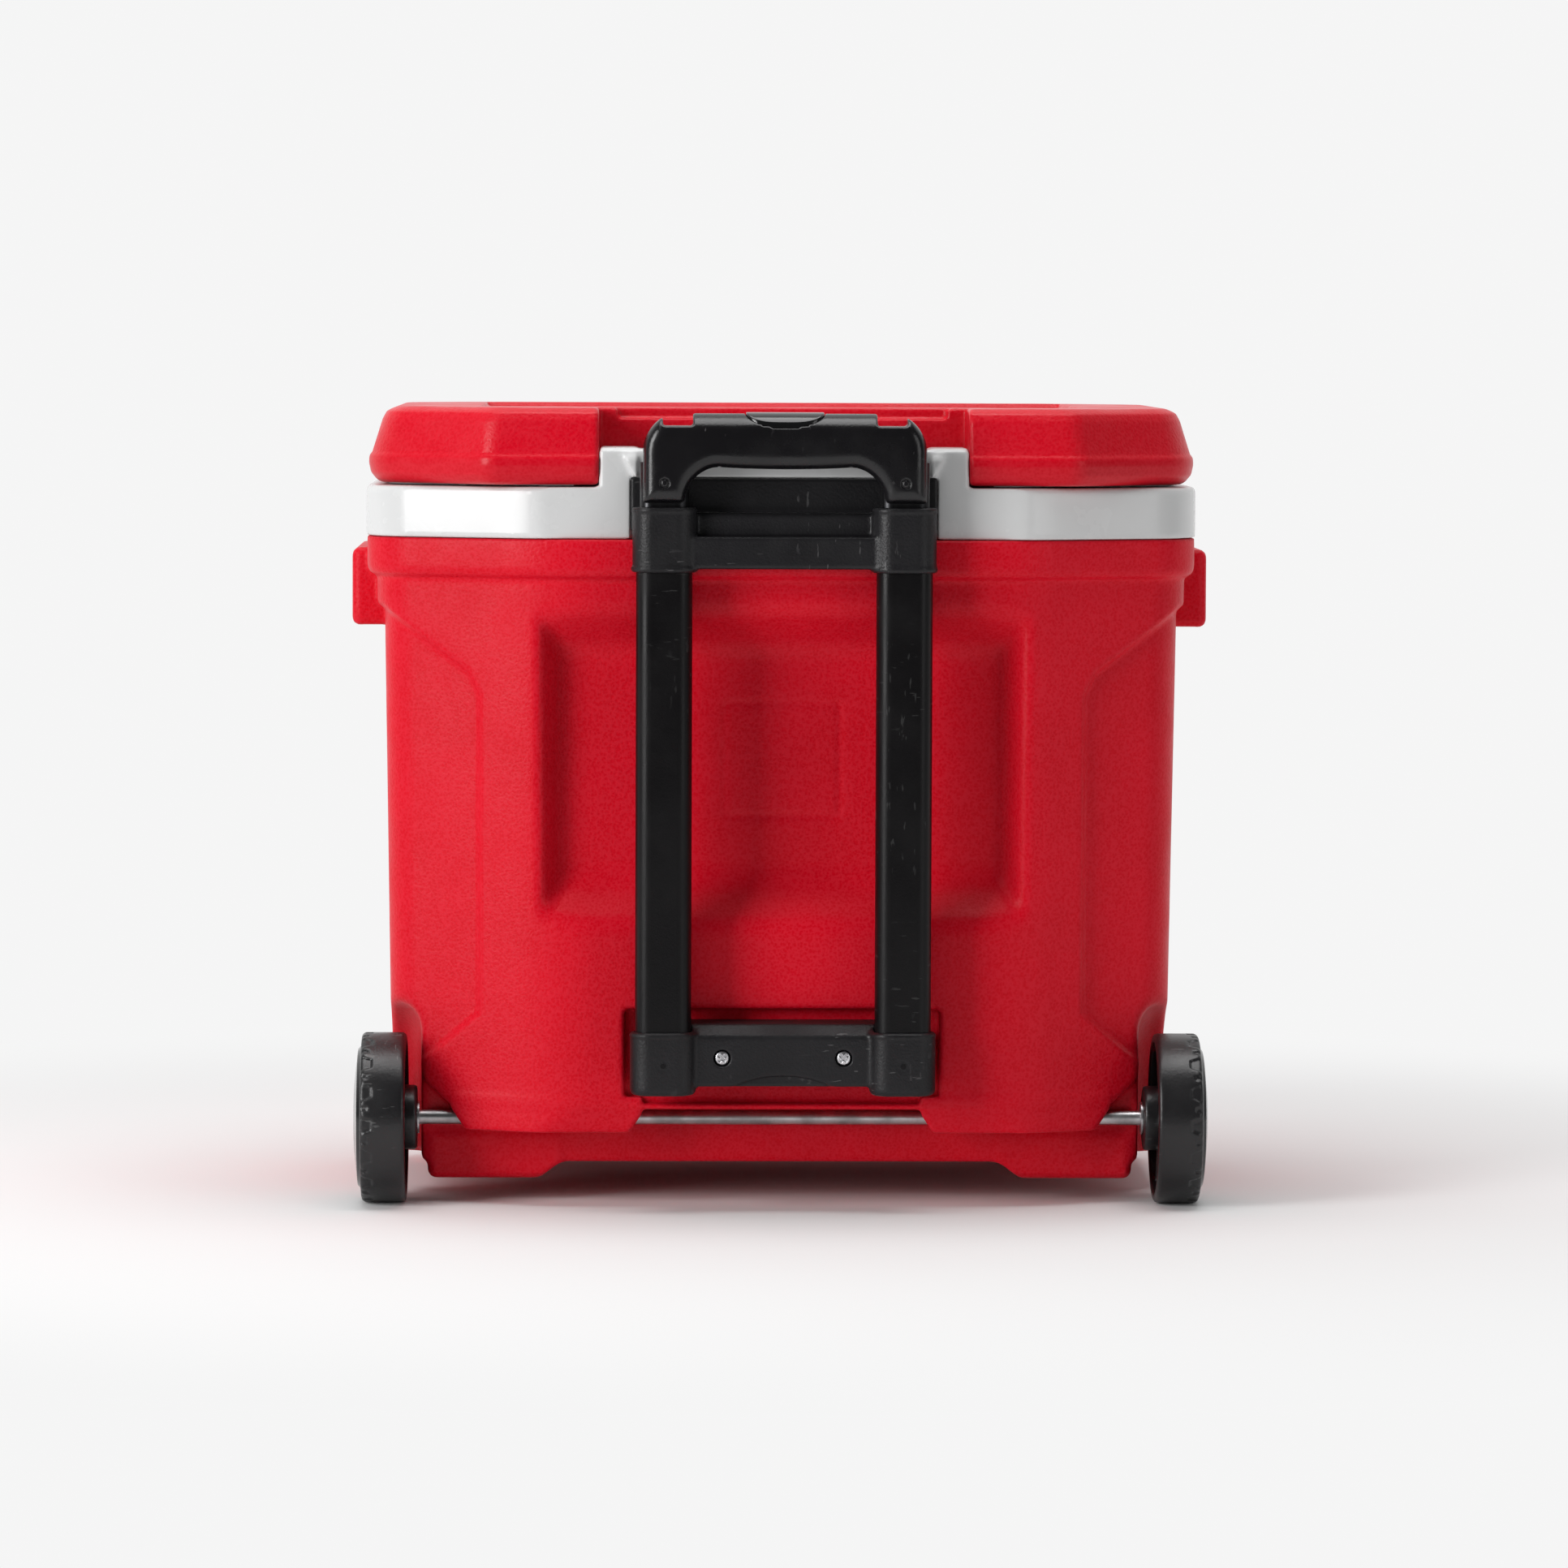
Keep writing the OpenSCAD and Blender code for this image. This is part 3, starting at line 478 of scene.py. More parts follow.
# Side panels of the wall: points (x, z) on their upper and lower edges
PANEL_LINE = 166
PANEL_TOP = [(160, 283), (168, 287), (174, 299), (222, 334), (260, 336)]
PANEL_LOW = [(160, 108), (167, 106), (194, 82), (206, 74), (260, 72)]
PANEL_IN = 4

RECESS_HALF = 138
RECESS_LOW, RECESS_HIGH = 155, 332
RECESS_DEPTH = 22
RECESS_SIDE_RUN, RECESS_SILL_RUN = 16, 26

SQUARE_HALF = 33
SQUARE_LOW, SQUARE_HIGH = 216, 281
SQUARE_LINE = 2.5
SQUARE_DEPTH = 0.7

POCKET_HALF, POCKET_DEPTH = 87, 18
POCKET_LOW, POCKET_HIGH = 58.5, 111

CHANNEL_TOP = 55
CHANNEL_FRONT = AXLE_Y - 5
CHANNEL_END = 184
AXLE_HOLE_R = 4.6

FOOT_HEIGHT = 40
FOOT_SLOPE_X = 134

WELL_GAP = 18.5
WELL_INNER = 200.5

GRAB_HALF = 65
GRAB_DOWN = 7.5
GRAB_HEIGHT = 44
GRAB_WALL = 5


def wall(x, y, z, outline):
    """The rim band and the drafted wall with its set-in side panels."""
    top = np.interp(x, *zip(*PANEL_TOP))
    low = np.interp(x, *zip(*PANEL_LOW))
    inside = np.minimum(np.minimum(x - PANEL_LINE, (top - z) * 0.8), (z - low) * 0.75)
    drop = np.clip((RIM_BASE - z) / (RIM_BASE - BASE_Z), 0, 1)
    side = outline + SHOULDER_IN + WALL_DRAFT * drop + PANEL_IN * ramp(0, 3.6, inside)
    side = smax(side, z - RIM_BASE - 8, 1)
    band = smax(outline + 0.5, RIM_BASE - z, 7)
    body = smax(smin(side, band, 2.0), z - RIM_TOP, 1.0)
    return smax(body, BASE_Z - z, 8)


def recess(x, y, z):
    """The recess between the tubes, with sloping sides, top and sill."""
    side = tilted(x - RECESS_HALF, FACE - y, RECESS_DEPTH, RECESS_SIDE_RUN)
    top = tilted(z - RECESS_HIGH, FACE - y, 1, 1)
    sill = tilted(RECESS_LOW - z, FACE - y, RECESS_DEPTH, RECESS_SILL_RUN)
    return smax(smax(side, top, 4), smax(sill, FACE - RECESS_DEPTH - y, 7), 6)


def square_line(x, y, z):
    """The outline of a plain square, pressed into the recess floor."""
    floor = FACE - RECESS_DEPTH
    half, low, high = SQUARE_HALF, SQUARE_LOW, SQUARE_HIGH
    outer = brick(x, y, z, (-half, floor - 3, low), (half, floor + 2, high), 2.4)
    half, low, high = half - SQUARE_LINE, low + SQUARE_LINE, high - SQUARE_LINE
    inner = brick(x, y, z, (-half, floor - 4, low), (half, floor + 3, high), 2.0)
    return np.maximum(np.maximum(outer, -inner), floor - SQUARE_DEPTH - y)


def axle_lip(x, y, z, outline):
    """The lip that carries the axle, with slanted ends and a chamfered edge."""
    low, high = 41.5, 62
    lip = brick(x, y, z, (POCKET_HALF - 10, AXLE_Y - 4.5, low), (CHANNEL_END, REAR, high), 1.5)
    lip = smax(lip, outline + SHOULDER_IN + WALL_DRAFT - 0.7, 1)
    below = low + 0.5 - z
    ends = smax(tilted(84 - x, below, 11, 7), tilted(x - 176, below, 12, 8.5), 1)
    chamfer = tilted(y - REAR + 10.5, high - 6 - z, 14, 4)
    return smax(smax(lip, ends, 1.5), chamfer, 1.5)


def feet(x, y, z):
    """The rear foot, and the front foot that stands on the floor."""
    rear = brick(x, y, z, (120, AXLE_Y - 60, 12.5), (197, AXLE_Y - 4.5, FOOT_HEIGHT), 5)
    rear = smax(rear, tilted(FOOT_SLOPE_X - x, 13 - z, 10, 13), 2)
    front = brick(x, y, z, (120, FRONT + 47, 0), (196, FRONT + 95, FOOT_HEIGHT), 5)
    front = smax(front, tilted(FOOT_SLOPE_X - x, -z, 22, 13), 2)
    return np.minimum(rear, front)


def wheel_well(x, y, z):
    """Room for the wheel, open to the rear and to the floor."""
    ring = from_line(y, z, AXLE_Y, AXLE_Z) - WHEEL_R - WELL_GAP
    behind = np.maximum(AXLE_Y - y, z - AXLE_Z - 50)
    return smax(np.minimum(ring, behind), WELL_INNER - x, 20)


def grab_handle(x, y, z):
    """A handle at the side, hollow from below."""
    root = SIDE - SHOULDER_IN - 6
    top = RIM_TOP - GRAB_DOWN
    low, high = (root, MID - GRAB_HALF, top - GRAB_HEIGHT), (WIDEST, MID + GRAB_HALF, top)
    handle = brick(x, y, z, low, high, 4.5)
    half = GRAB_HALF - GRAB_WALL
    low, high = (root, MID - half, RIM_TOP - 90), (WIDEST - 4, MID + half, top - GRAB_WALL)
    return cut(handle, brick(x, y, z, low, high, 2), 1.5)


def tub(x, y, z):
    """The outer tub as one moulded piece, hollow down to the cavity's floor."""
    outline = plan(x, y)
    body = cut(wall(x, y, z, outline), recess(x, y, z), 5)
    body = cut(body, square_line(x, y, z), 0.5)

    low, high = (-POCKET_HALF, REAR - POCKET_DEPTH, POCKET_LOW), (POCKET_HALF, REAR + PAST, POCKET_HIGH)
    body = cut(body, brick(x, y, z, low, high, 2.5), 2.5)

    # The axle lies in a channel with slanted ends
    ends = WIDEST + PAST
    channel = brick(x, y, z, (-ends, CHANNEL_FRONT, -PAST), (ends, REAR + PAST, CHANNEL_TOP), 2)
    body = cut(body, channel, 2.5)
    slanted = tilted(CHANNEL_TOP - z, x - CHANNEL_END, 14, 12)
    body = cut(body, smax(-slanted, CHANNEL_FRONT - y, 2), 2)
    body = smin(body, axle_lip(x, y, z, outline), 1.5)
    hole = from_line(y, z, AXLE_Y, AXLE_Z) - AXLE_HOLE_R
    body = np.maximum(body, np.where(x < WELL_INNER + 4.5, -hole, body))

    body = smin(body, feet(x, y, z), 3)
    body = cut(body, wheel_well(x, y, z), 4)
    body = smin(body, grab_handle(x, y, z), 2.5)
    room = LINER_WALL + 0.5
    return cut(body, np.maximum(cavity(x, y, z) - room, CAVITY_FLOOR - room - z), 1)


moulded(
    "tub", "cooler", (0, FRONT, 0), (WIDEST, REAR, RIM_TOP), 1.5, tub, RED,
    faces=190000, stands_for=("body_shell", "body_foam"),
)


# ---------- the white collar and the inner tub ----------

WEB_HALF = 101.6
WEB_FRONT = HINGE_Y - 31
BLOCK_INNER = 80.5
BLOCK_TOP = HINGE_Z + 8.5

# Plate of the upper bracket, let into the web
PLATE_HALF = 84.5
PLATE_FRONT, PLATE_REAR = REAR - 6.4, REAR - 2.6
PLATE_HEIGHT = 29
PLATE_TOP = UPPER_HIGH[2]


def hinge_block(x, y, z):
    """A hinge block at the web's end, with its rear edge cut back."""
    low, high = (BLOCK_INNER, WEB_FRONT, COLLAR_TOP - 6), (WEB_HALF, REAR - 0.2, BLOCK_TOP)
    slope = tilted(z - BLOCK_TOP, y - REAR + 7, 7, 6)
    return smax(brick(x, y, z, low, high, 1.6), slope, 2)


def collar(x, y, z):
    """Collar, web, hinge blocks and the inner tub's walls."""
    ring = smax(smax(plan(x, y), z - COLLAR_TOP, 3.5), RIM_TOP + 0.2 - z, 1.2)
    inside = cavity(x, y, z)
    tub_wall = smax(smax(inside - LINER_WALL, z - COLLAR_TOP, 1), CAVITY_FLOOR - LINER_WALL - z, 6)
    shape = smin(ring, tub_wall, 1.0)
    shape = cut(shape, smax(inside, CAVITY_FLOOR - z, 16), 2.5)

    low, high = (-WEB_HALF, WEB_FRONT, COLLAR_TOP - 8), (WEB_HALF, REAR - 3.6, BLOCK_TOP - 1)
    web = brick(x, y, z, low, high, 2)
    shape = smin(shape, smin(web, hinge_block(x, y, z), 1.5), 1.5)

    half = PLATE_HALF + 0.4
    low, high = (-half, PLATE_FRONT - 0.2, UPPER_LOW[2]), (half, REAR + PAST, PLATE_TOP + 0.3)
    shape = cut(shape, brick(x, y, z, low, high, 0.5), 0.6)
    edge = tilted(PLATE_HALF + 1.5 - x, z - PLATE_TOP - 7, 7, 4)
    return cut(shape, np.maximum(edge, REAR - 3.4 - y), 1)


moulded(
    "collar", "cooler", (0, FRONT, 66), (SIDE, REAR, HINGE_Z + 9), 1.7, collar, WHITE,
    faces=190000, stands_for=("liner",),
)


# ---------- the lid ----------

LID_FLAT_HALF = 164
# Section of the lid's side: heights, and how far it stands in from the collar's outline there
LID_SIDE = [
    (LID_BASE, 8.5), (LID_BASE + 2, 5.8), (LID_BASE + 6, 2.5), (LID_BASE + 11.6, 1.3),
    (LID_BASE + 15.5, 1.6), (LID_BASE + 17.5, 3.2),
    (LID_TOP - 7, 9.0), (LID_TOP - 3, 11.2), (LID_TOP, 16),
]
TRAY_HALF, TRAY_DEPTH = 168, 2.5
LIP_HALF = 70
STEP_HALF, STEP_DEPTH = 92, 6.5


def lid(x, y, z):
    """The lid's cover: drafted sides, a tray on top, a lip at the front and a notch at the rear."""
    side = (plan(x, y, LID_FLAT_HALF, 4) + np.interp(z, *zip(*LID_SIDE))) * 0.97
    shape = smax(smax(side, z - LID_TOP, 3), LID_BASE + 0.5 - z, 2)
    low, high = (-TRAY_HALF, FRONT + 40, LID_TOP - TRAY_DEPTH), (TRAY_HALF, HINGE_Y - 59, LID_TOP + PAST)
    shape = cut(shape, brick(x, y, z, low, high, 2), 1.5)
    low, high = (-LIP_HALF, LIP_FRONT, LID_BASE + 2), (LIP_HALF, FRONT + 12, LID_BASE + 12)
    shape = smin(shape, brick(x, y, z, low, high, 3), 3)

    half = WEB_HALF + 0.4
    low, high = (-half, WEB_FRONT - 2, LID_BASE - PAST), (half, REAR + PAST, LID_TOP + PAST)
    notch = brick(x, y, z, low, high, 2)
    low, high = (-STEP_HALF, WEB_FRONT - 9, LID_TOP - STEP_DEPTH), (STEP_HALF, REAR + PAST, LID_TOP + PAST)
    step = brick(x, y, z, low, high, 3)
    shape = cut(shape, np.minimum(notch, step), 3)
    pin = from_line(y, z, HINGE_Y, HINGE_Z) - 4.6
    return np.maximum(shape, np.where(x < half + 11, -pin, shape))


moulded(
    "lid_cover", "lid", (0, LIP_FRONT, LID_BASE), (SIDE, REAR, LID_TOP), 1.25, lid, RED_LID,
    faces=190000, stands_for=("lid_shell", "lid_foam"),
)


# ---------- brackets ----------

TUBE_ROOM = 31.2, 17.2
SLEEVE_THICK = 22.6
UPPER_SLEEVE_WIDE, LOWER_SLEEVE_WIDE = 35, 36.4
SCREW_X, SCREW_Z = SCREW_HIGH[0] - 4, middle("lower_bracket_screws", 2)


def scoop(x, z, centre_z, half, rise):
    """A shallow arch cut upwards into an edge at centre_z."""
    radius = (half**2 + rise**2) / (2 * rise)
    return from_line(x, z, 0, centre_z + rise - radius) - radius


def upper_bracket(x, y, z):
    """Sleeves, bar and plate at the collar."""
    low, high = UPPER_LOW[2], TUBE_HIGH[2] + 0.5
    lips = 0.7 * ramp(low + 4, low + 2.5, z) + 0.5 * ramp(high - 3.4, high - 2.2, z)
    sleeve = smax(obround(x, y, UPPER_SLEEVE_WIDE, SLEEVE_THICK) - lips, slab(z, low, high), 2.2)
    ledge = brick(x, y, z, (-60, REAR + 0.3, low + 2), (60, REAR + 19, low + 20), 2)
    bar = brick(x, y, z, (-60, REAR + 0.3, low + 12), (60, REAR + 10, low + 32), 2)
    plate_low = (-PLATE_HALF, PLATE_FRONT, PLATE_TOP - PLATE_HEIGHT)
    plate = brick(x, y, z, plate_low, (PLATE_HALF, PLATE_REAR, PLATE_TOP), 1.2)
    ties = brick(x, y, z, (-82, REAR - 5, low + 24), (82, REAR + 4, low + 32), 1.5)
    shape = smin(smin(sleeve, ledge, 2.5), smin(bar, smin(plate, ties, 2), 2), 3)
    return cut(shape, obround(x, y, *TUBE_ROOM), 0.8)


def lower_bracket(x, y, z):
    """Sleeves and web in the tub's pocket, with seats for the screws and two pressed rings."""
    low, top = LOWER_LOW[2], LOWER_HIGH[2]
    high = top - 4
    pocket_floor = REAR - POCKET_DEPTH + 0.5
    lips = 0.7 * ramp(high - 3.4, high - 2.2, z)
    sleeve = smax(obround(x, y, LOWER_SLEEVE_WIDE, SLEEVE_THICK) - lips, slab(z, low, high), 4)
    web = brick(x, y, z, (-62, pocket_floor, low + 5), (62, TUBE_Y + 4, top), 1.5)
    web = smax(web, tilted(y - TUBE_Y + 3, z - top, 1, 1), 1.2)
    web = cut(web, smax(scoop(x, z, low + 5, 28, 6), TUBE_Y + 2.2 - y, 0.5), 0.8)
    back = brick(x, y, z, (TUBE_X - 14, pocket_floor, low + 3), (TUBE_X + 14, TUBE_Y, high), 1.5)
    shape = smin(smin(sleeve, back, 2), web, 2.5)
    shape = cut(shape, smax(obround(x, y, *TUBE_ROOM), TUBE_LOW[2] - z, 0.5), 0.8)
    seat = np.maximum(from_line(x, z, SCREW_X, SCREW_Z) - 4.7, TUBE_Y + 0.8 - y)
    shape = cut(shape, seat, 0.8)
    mark = ring_line(from_line(x, z, TUBE_X, middle("lower_bracket_pins", 2)), 2.6, 0.6)
    return cut(shape, np.maximum(mark, TUBE_Y + 11.2 - y), 0.5)


moulded(
    "upper_bracket_form", "cooler", UPPER_LOW, UPPER_HIGH, 0.8, upper_bracket, BRACKET,
    faces=150000, stands_for=("upper_bracket",),
)
moulded(
    "lower_bracket_form", "cooler", LOWER_LOW, LOWER_HIGH, 0.8, lower_bracket, BRACKET,
    faces=150000, stands_for=("lower_bracket",),
)


def screws(x, y, z):
    """Pan heads with a cross recess, on their shanks."""
    top, head_r, dome_r, shank_r = SCREW_HIGH[1], 4, 9, 1.9
    r = from_line(x, z, SCREW_X, SCREW_Z)
    dome = np.sqrt(r**2 + (y - top + dome_r) ** 2) - dome_r
    head = smax(smax(r - head_r, dome, 0.6), top - 2.4 - y, 0.3)
    shank = smax(r - shank_r, y - top + 2, 0.2)
    along, across = tilted(x - SCREW_X, z - SCREW_Z, 1, 1), tilted(x - SCREW_X, SCREW_Z - z, 1, 1)
    arms = [np.maximum(abs(a) - 2.5, abs(b) - 0.75) for a, b in ((along, across), (across, along))]
    cross = np.maximum(np.minimum(*arms), top - 1.9 - y)
    return np.minimum(cut(head, cross, 0.2), shank)


moulded(
    "lower_screws", "cooler", SCREW_LOW, SCREW_HIGH, 0.25, screws, ZINC,
    faces=60000, stands_for=("lower_bracket_screws",),
)


# ---------- the grip and its button ----------

GRIP_HALF = GRIP_HIGH[0]
GRIP_BASE, GRIP_TOP = GRIP_LOW[2], GRIP_HIGH[2]
GRIP_HALF_DEPTH = 13.8
GRIP_SHOULDER_R = 23
GRIP_CROWN_R = 14.8
# The opening for the hand
HAND_HALF, HAND_RISE = 55, 20
HAND_BELLY = 1.26
# Notches in the top, beside the tubes
HORN_INNER, HORN_OUTER, HORN_DEPTH = 50.5, 67, 7
BUTTON_LENGTH, BUTTON_WIDTH = 21.5, 12.2
BUTTON_SQUARENESS = 3.2
BUTTON_DEPTH = 16


def lens(x, y, grow):
    """The button's blunt oval outline. On the rolled top it reads as a pointed oval."""
    along, across = abs(x) / BUTTON_LENGTH, abs(y - GRIP_Y) / BUTTON_WIDTH
    squared = along**BUTTON_SQUARENESS + across**BUTTON_SQUARENESS
    reach = np.maximum(squared, 1e-6) ** (1 / BUTTON_SQUARENESS)
    return from_line(x, y, 0, GRIP_Y) * (1 - 1 / reach) - grow


def grip_form(x, y, z):
    """The grip as one solid, without the button's well."""
    flat_y = 0 * y
    low, high = (-GRIP_HALF, -PAST, GRIP_BASE), (GRIP_HALF, PAST, GRIP_TOP + PAST)
    outline = brick(x, flat_y, z, low, high, 0.5)
    shoulder = rounded_corner(x - GRIP_HALF + 24, z - GRIP_TOP + 22, GRIP_SHOULDER_R)
    outline = smax(outline, shoulder, 2)
    low, high = (-HAND_HALF, -PAST, GRIP_BASE - PAST), (HAND_HALF, PAST, GRIP_BASE + HAND_RISE)
    arch = brick(x, flat_y, z, low, high, HAND_RISE)
    belly = HAND_BELLY * (1 - np.clip(x / 40, 0, 1) ** 2)
    outline = cut(outline, arch + belly, 3)
    shape = smax(outline, abs(y - GRIP_Y) - GRIP_HALF_DEPTH, 9)
    rolled = rounded_corner(abs(y - GRIP_Y), z - GRIP_TOP + 15, GRIP_CROWN_R)
    shape = smax(shape, rolled, 1.5)
    low = (HORN_INNER, GRIP_Y - PAST, GRIP_TOP - HORN_DEPTH)
    high = (HORN_OUTER, GRIP_Y + PAST, GRIP_TOP + PAST)
    return cut(shape, brick(x, y, z, low, high, 1.5), 1.2)


def grip(x, y, z):
    """The grip with the button's well and the two rivet marks."""
    well = smax(lens(x, y, 0.35), GRIP_TOP - BUTTON_DEPTH - z, 0.5)
    shape = cut(grip_form(x, y, z), well, 0.5)
    mark = ring_line(from_line(x, z, TUBE_X, middle("grip_pins", 2)), 2.3, 0.5)
    return cut(shape, np.maximum(mark, GRIP_Y + 13.0 - y), 0.4)


def grip_rear(x, y, z):
    """The half of the grip that faces the puller."""
    return smax(grip(x, y, z), GRIP_Y + 0.1 - y, 0.4)


def grip_front(x, y, z):
    """The half of the grip that faces the lid."""
    return smax(grip(x, y, z), y - GRIP_Y + 0.1, 0.4)


def button(x, y, z):
    """The button follows the grip's own surface, a little proud of it."""
    crown = smax(grip_form(x, y, z) - 0.7, GRIP_TOP - BUTTON_DEPTH - 1 - z, 0.5)
    return smax(crown, lens(x, y, 0), 0.7)


moulded(
    "grip_rear", "handle", GRIP_LOW, GRIP_HIGH, 0.6, grip_rear, BLACK,
    faces=120000, stands_for=("grip_rear_shell",),
)
moulded(
    "grip_front", "handle", GRIP_LOW, GRIP_HIGH, 0.6, grip_front, BLACK,
    faces=120000, stands_for=("grip_front_shell",),
)
moulded(
    "button_cap", "button", (0, GRIP_Y - 13, GRIP_TOP - 18), (22, GRIP_Y + 13, GRIP_TOP + 1),
    0.4, button, GLOSS, faces=60000, stands_for=("release_button",),
)


# ---------- wheels ----------

LUGS = 16
SPOKES = 6
TREAD_IN = 5.8
HUB_R = 18
WHEEL_HOLE_R = 4.3


def parts_of_turn(y, z, count):
    """Angle round the axle, with count parts to a turn."""
    return np.arctan2(z - AXLE_Z, y - AXLE_Y) * count / (2 * math.pi)


def tread(x, y, z, tread_x, outer_x):
    """The tyre's ring, with pockets and pegs round its outer edge."""
    r = from_line(y, z, AXLE_Y, AXLE_Z)
    turn = parts_of_turn(y, z, LUGS)
    pitch = 2 * math.pi * WHEEL_R / LUGS
    lug = abs(turn - np.round(turn)) * pitch
    gap = abs(turn - np.floor(turn) - 0.5) * pitch
    ring = smax(r - WHEEL_R + 0.2, slab(x, tread_x, outer_x), 3)
    widen = (x - outer_x + 7) * 0.35
    pocket = np.maximum(lug - 2.6 - widen, outer_x - 6.5 - x)
    peg = np.maximum(gap - 1.1, outer_x - 4.2 - x)
    return cut(ring, np.maximum(np.minimum(pocket, peg), WHEEL_R - 1.0 - r), 0.7)


def wheel(x, y, z):
    """The wheel at +X: tread, hub and spokes, with a seat for its cover."""
    inner_x, outer_x = WHEEL_LOW[0], WHEEL_HIGH[0]
    tread_x = inner_x + TREAD_IN
    r = from_line(y, z, AXLE_Y, AXLE_Z)
    tyre = tread(x, y, z, tread_x, outer_x)
    hollow = smax(r - WHEEL_R + 5, x - tread_x - 12, 2.5)
    tyre = cut(tyre, hollow, 1.2)
    cover_seat = smax(r - WHEEL_R + 6.9, outer_x - 8 - x, 1)
    tyre = cut(tyre, cover_seat, 0.8)
    hub = smax(r - HUB_R, slab(x, inner_x, outer_x - 8.5), 2)
    spoke = parts_of_turn(y, z, SPOKES)
    rib = abs(spoke - np.round(spoke)) * 2 * math.pi * r / SPOKES - 1.5
    rib = smax(smax(rib, slab(x, tread_x + 3, outer_x - 9), 1), r - WHEEL_R + 4, 1)
    shape = smin(tyre, smin(hub, rib, 2), 2)
    return cut(shape, r - WHEEL_HOLE_R, 0.5)


def wheel_mirrored(x, y, z):
    """The wheel at -X."""
    return wheel(-x, y, z)


moulded(
    "left_tyre", "left_wheel", WHEEL_LOW, WHEEL_HIGH, 0.8, wheel, TREAD,
    both=False, faces=120000, stands_for=("wheel_left",),
)
moulded(
    "right_tyre", "right_wheel", (-WHEEL_HIGH[0], *WHEEL_LOW[1:]),
    (-WHEEL_LOW[0], *WHEEL_HIGH[1:]), 0.8, wheel_mirrored, TREAD,
    both=False, faces=120000, stands_for=("wheel_right",),
)


# ---------- CAD nodes that stay ----------

KEPT = {
    "axle": STEEL, "axle_washers": ZINC, "axle_push_nuts": ZINC,
    "wheel_cover_left": GLOSS, "wheel_cover_right": GLOSS,
    "upper_bracket_screws": ZINC, "lower_bracket_pins": TUBE,
    "outer_tube_left": TUBE, "outer_tube_right": TUBE, "tube_end_plugs": TUBE,
    "inner_tube_left": DARK_STEEL, "inner_tube_right": DARK_STEEL,
    "inner_foot_left": TUBE, "inner_foot_right": TUBE,
    "grip_pins": TUBE, "grip_screws": ZINC, "release_yoke": TUBE,
    "push_rod_left": ZINC, "push_rod_right": ZINC, "lock_pin_left": ZINC, "lock_pin_right": ZINC,
    "button_spring": ZINC, "lock_springs": ZINC, "hinge_pins": WHITE_INNER,
    "lid_liner": WHITE_INNER,
}
for node, material in KEPT.items():
    mesh = NODES[node].data
    mesh.materials.clear()
    mesh.materials.append(material)


# ---------- studio ----------

BACKGROUND = 0.915
FLOOR_PAINT = 0.79
# Distances on the floor, in metres, between which the paint fades into the backdrop
FADE_START, FADE_END = 0.3, 0.95
# The floor in metres: half its width, its end away from the camera and its end towards it
FLOOR_HALF, FLOOR_FAR, FLOOR_NEAR = 4, -6, 1.6
# Where the lights are aimed
AIM = Vector((0, 0.1, 0.22))


def floor_material():
    """Pale paint near the cooler, fading into an even backdrop away from it."""
    material = bpy.data.materials.new("floor_paint")
    material.use_nodes = True
    tree = material.node_tree
    tree.nodes.clear()
    coords = tree.nodes.new("ShaderNodeTexCoord").outputs["Object"]
    length = tree.nodes.new("ShaderNodeVectorMath")
    length.operation = "LENGTH"
    tree.links.new(coords, length.inputs[0])
    away = mapped(tree, length.outputs["Value"], FADE_START, FADE_END, 0, 1)
    paint = tree.nodes.new("ShaderNodeBsdfDiffuse")
    paint.inputs["Color"].default_value = (FLOOR_PAINT, FLOOR_PAINT, FLOOR_PAINT, 1)
    far = tree.nodes.new("ShaderNodeEmission")
    far.inputs["Strength"].default_value = BACKGROUND
    blend = tree.nodes.new("ShaderNodeMixShader")
    tree.links.new(away, blend.inputs[0])
    tree.links.new(paint.outputs[0], blend.inputs[1])
    tree.links.new(far.outputs[0], blend.inputs[2])
    output = tree.nodes.new("ShaderNodeOutputMaterial")
    tree.links.new(blend.outputs[0], output.inputs["Surface"])
    return material


def studio_floor():
    """Flat floor. Its far end meets the world's light at the same value, so no horizon shows."""
    verts = [
        (-FLOOR_HALF, FLOOR_FAR, 0), (FLOOR_HALF, FLOOR_FAR, 0),
        (FLOOR_HALF, FLOOR_NEAR, 0), (-FLOOR_HALF, FLOOR_NEAR, 0),
    ]
    mesh = bpy.data.meshes.new("floor")
    mesh.from_pydata(verts, [], [(0, 1, 2, 3)])
    piece = bpy.data.objects.new("floor", mesh)
    bpy.context.scene.collection.objects.link(piece)
    mesh.materials.append(floor_material())


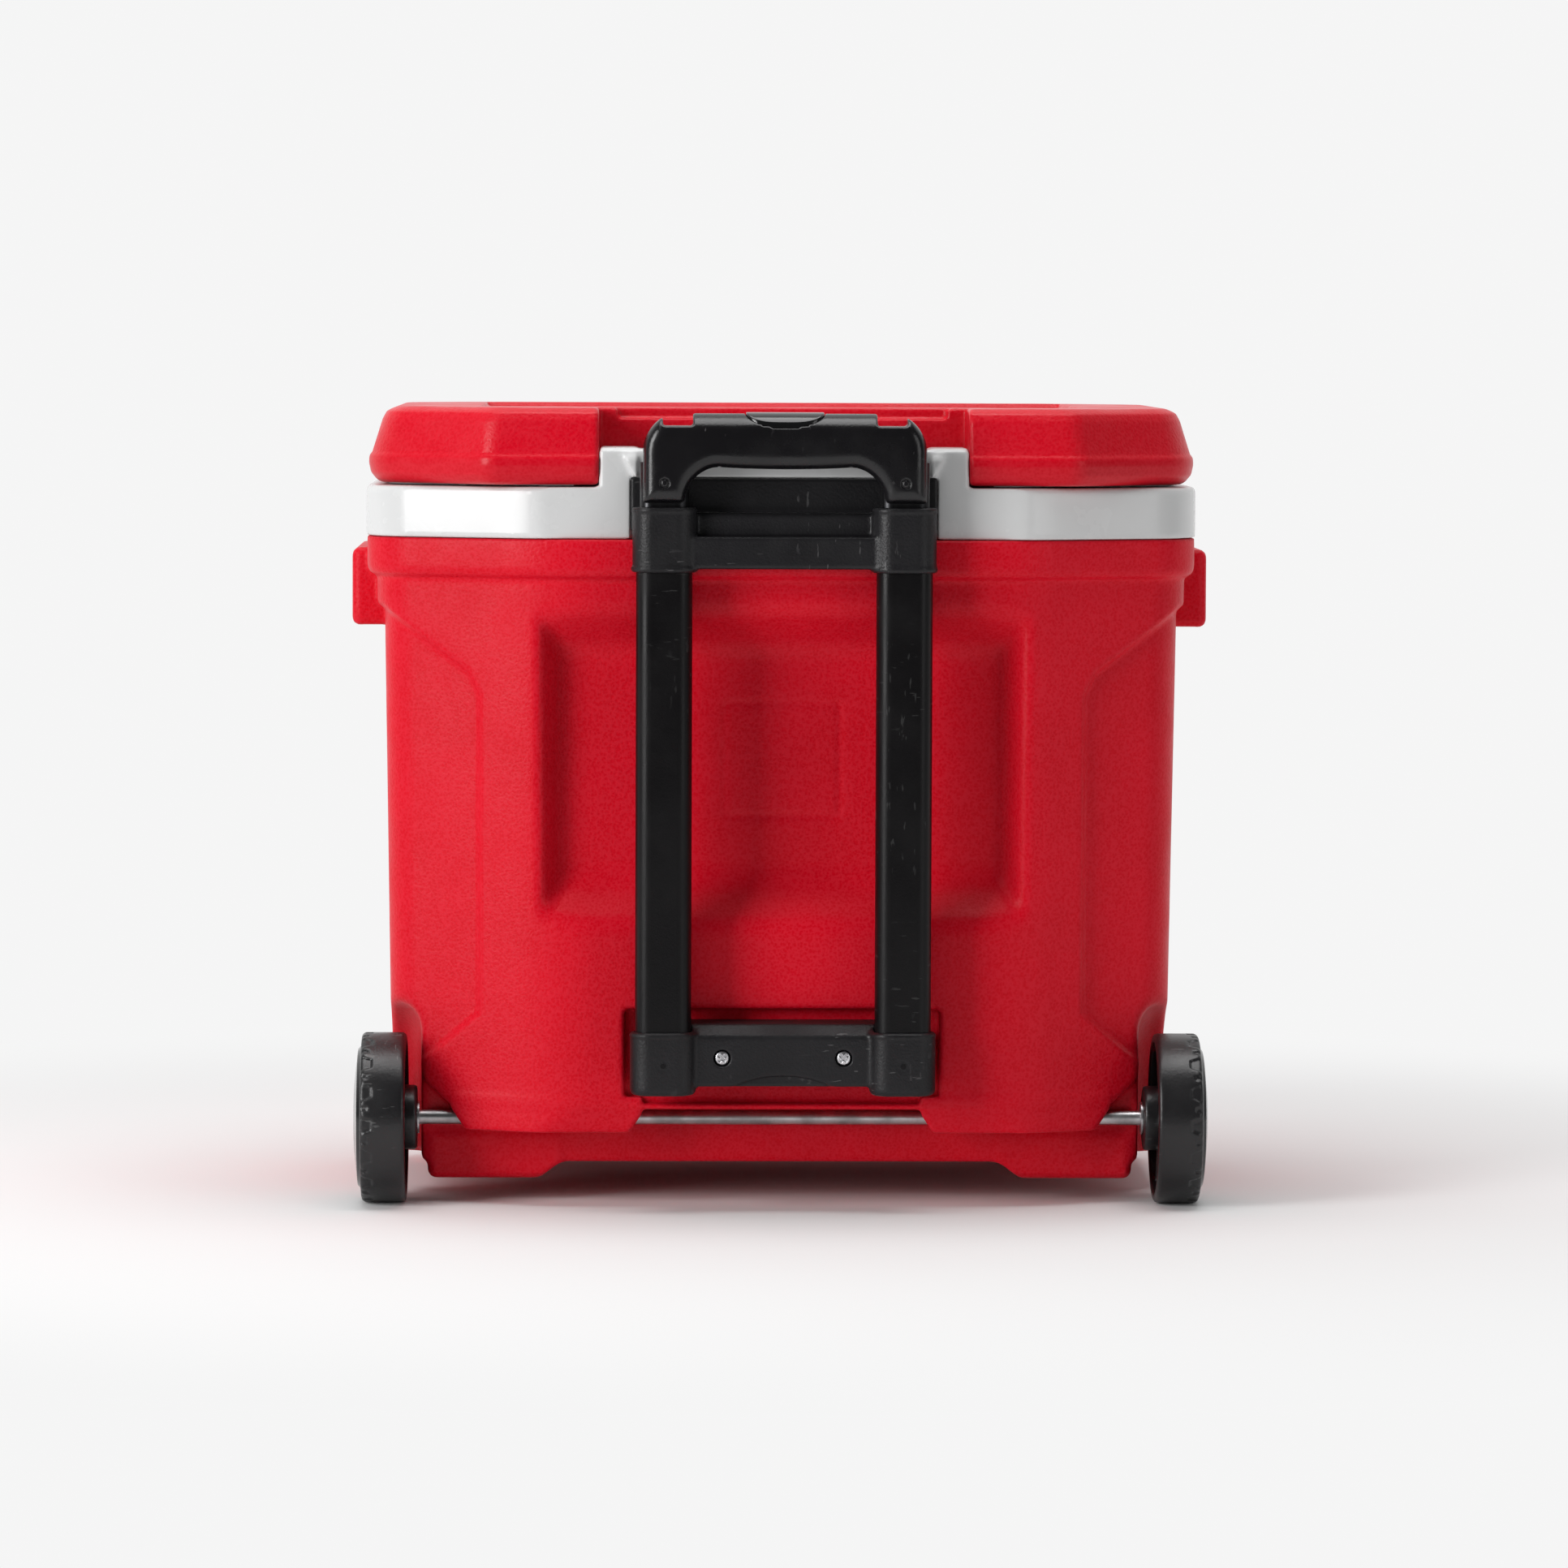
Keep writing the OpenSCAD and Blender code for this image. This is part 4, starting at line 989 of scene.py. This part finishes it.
def area_light(name, place, size, power):
    """A soft box aimed at the cooler."""
    data = bpy.data.lights.new(name, "AREA")
    data.shape = "RECTANGLE"
    data.size, data.size_y = size
    data.energy = power
    lamp = bpy.data.objects.new(name, data)
    lamp.location = place
    lamp.rotation_mode = "QUATERNION"
    lamp.rotation_quaternion = (AIM - Vector(place)).to_track_quat("-Z", "Y")
    bpy.context.scene.collection.objects.link(lamp)


def studio_world():
    """Bright behind the cooler and dim on the camera's side."""
    world = bpy.data.worlds.new("studio")
    bpy.context.scene.world = world
    world.use_nodes = True
    tree = world.node_tree
    split = tree.nodes.new("ShaderNodeSeparateXYZ")
    tree.links.new(tree.nodes.new("ShaderNodeTexCoord").outputs["Generated"], split.inputs[0])
    level = mapped(tree, split.outputs["Y"], -0.6, 0.25, BACKGROUND, 0.07)
    background = tree.nodes["Background"]
    background.inputs["Color"].default_value = (1, 1, 1, 1)
    tree.links.new(level, background.inputs["Strength"])


studio_floor()
area_light("key", (1.75, 1.5, 0.9), (0.9, 1.6), 42)
area_light("fill", (-1.9, 1.9, 0.8), (0.9, 1.4), 7)
area_light("top", (0.0, 0.15, 2.3), (1.8, 1.2), 31)
studio_world()


# ---------- camera ----------

# Place in metres, turns in radians, lens in millimetres
DISTANCE = 4.300
OFFSET = 0.0927
EYE = 0.4897
YAW, PITCH, ROLL = 0.02248, 0.06102, 0.00385
LENS = 172.8


def camera():
    """Looks at the rear from eye height, a little to the +X side."""
    data = bpy.data.cameras.new("camera")
    data.lens = LENS
    data.sensor_width = 36
    data.clip_end = 30
    ahead = Vector((-math.sin(YAW) * math.cos(PITCH), -math.cos(YAW) * math.cos(PITCH), -math.sin(PITCH)))
    right = Vector((-math.cos(YAW), math.sin(YAW), 0))
    up = right.cross(ahead)
    level = Matrix((right, up, -ahead)).transposed()
    piece = bpy.data.objects.new("camera", data)
    piece.rotation_mode = "QUATERNION"
    piece.rotation_quaternion = (level @ Matrix.Rotation(ROLL, 3, "Z")).to_quaternion()
    piece.location = (OFFSET, DISTANCE, EYE)
    bpy.context.scene.collection.objects.link(piece)
    bpy.context.scene.camera = piece


camera()
bpy.context.scene.view_settings.view_transform = "Standard"
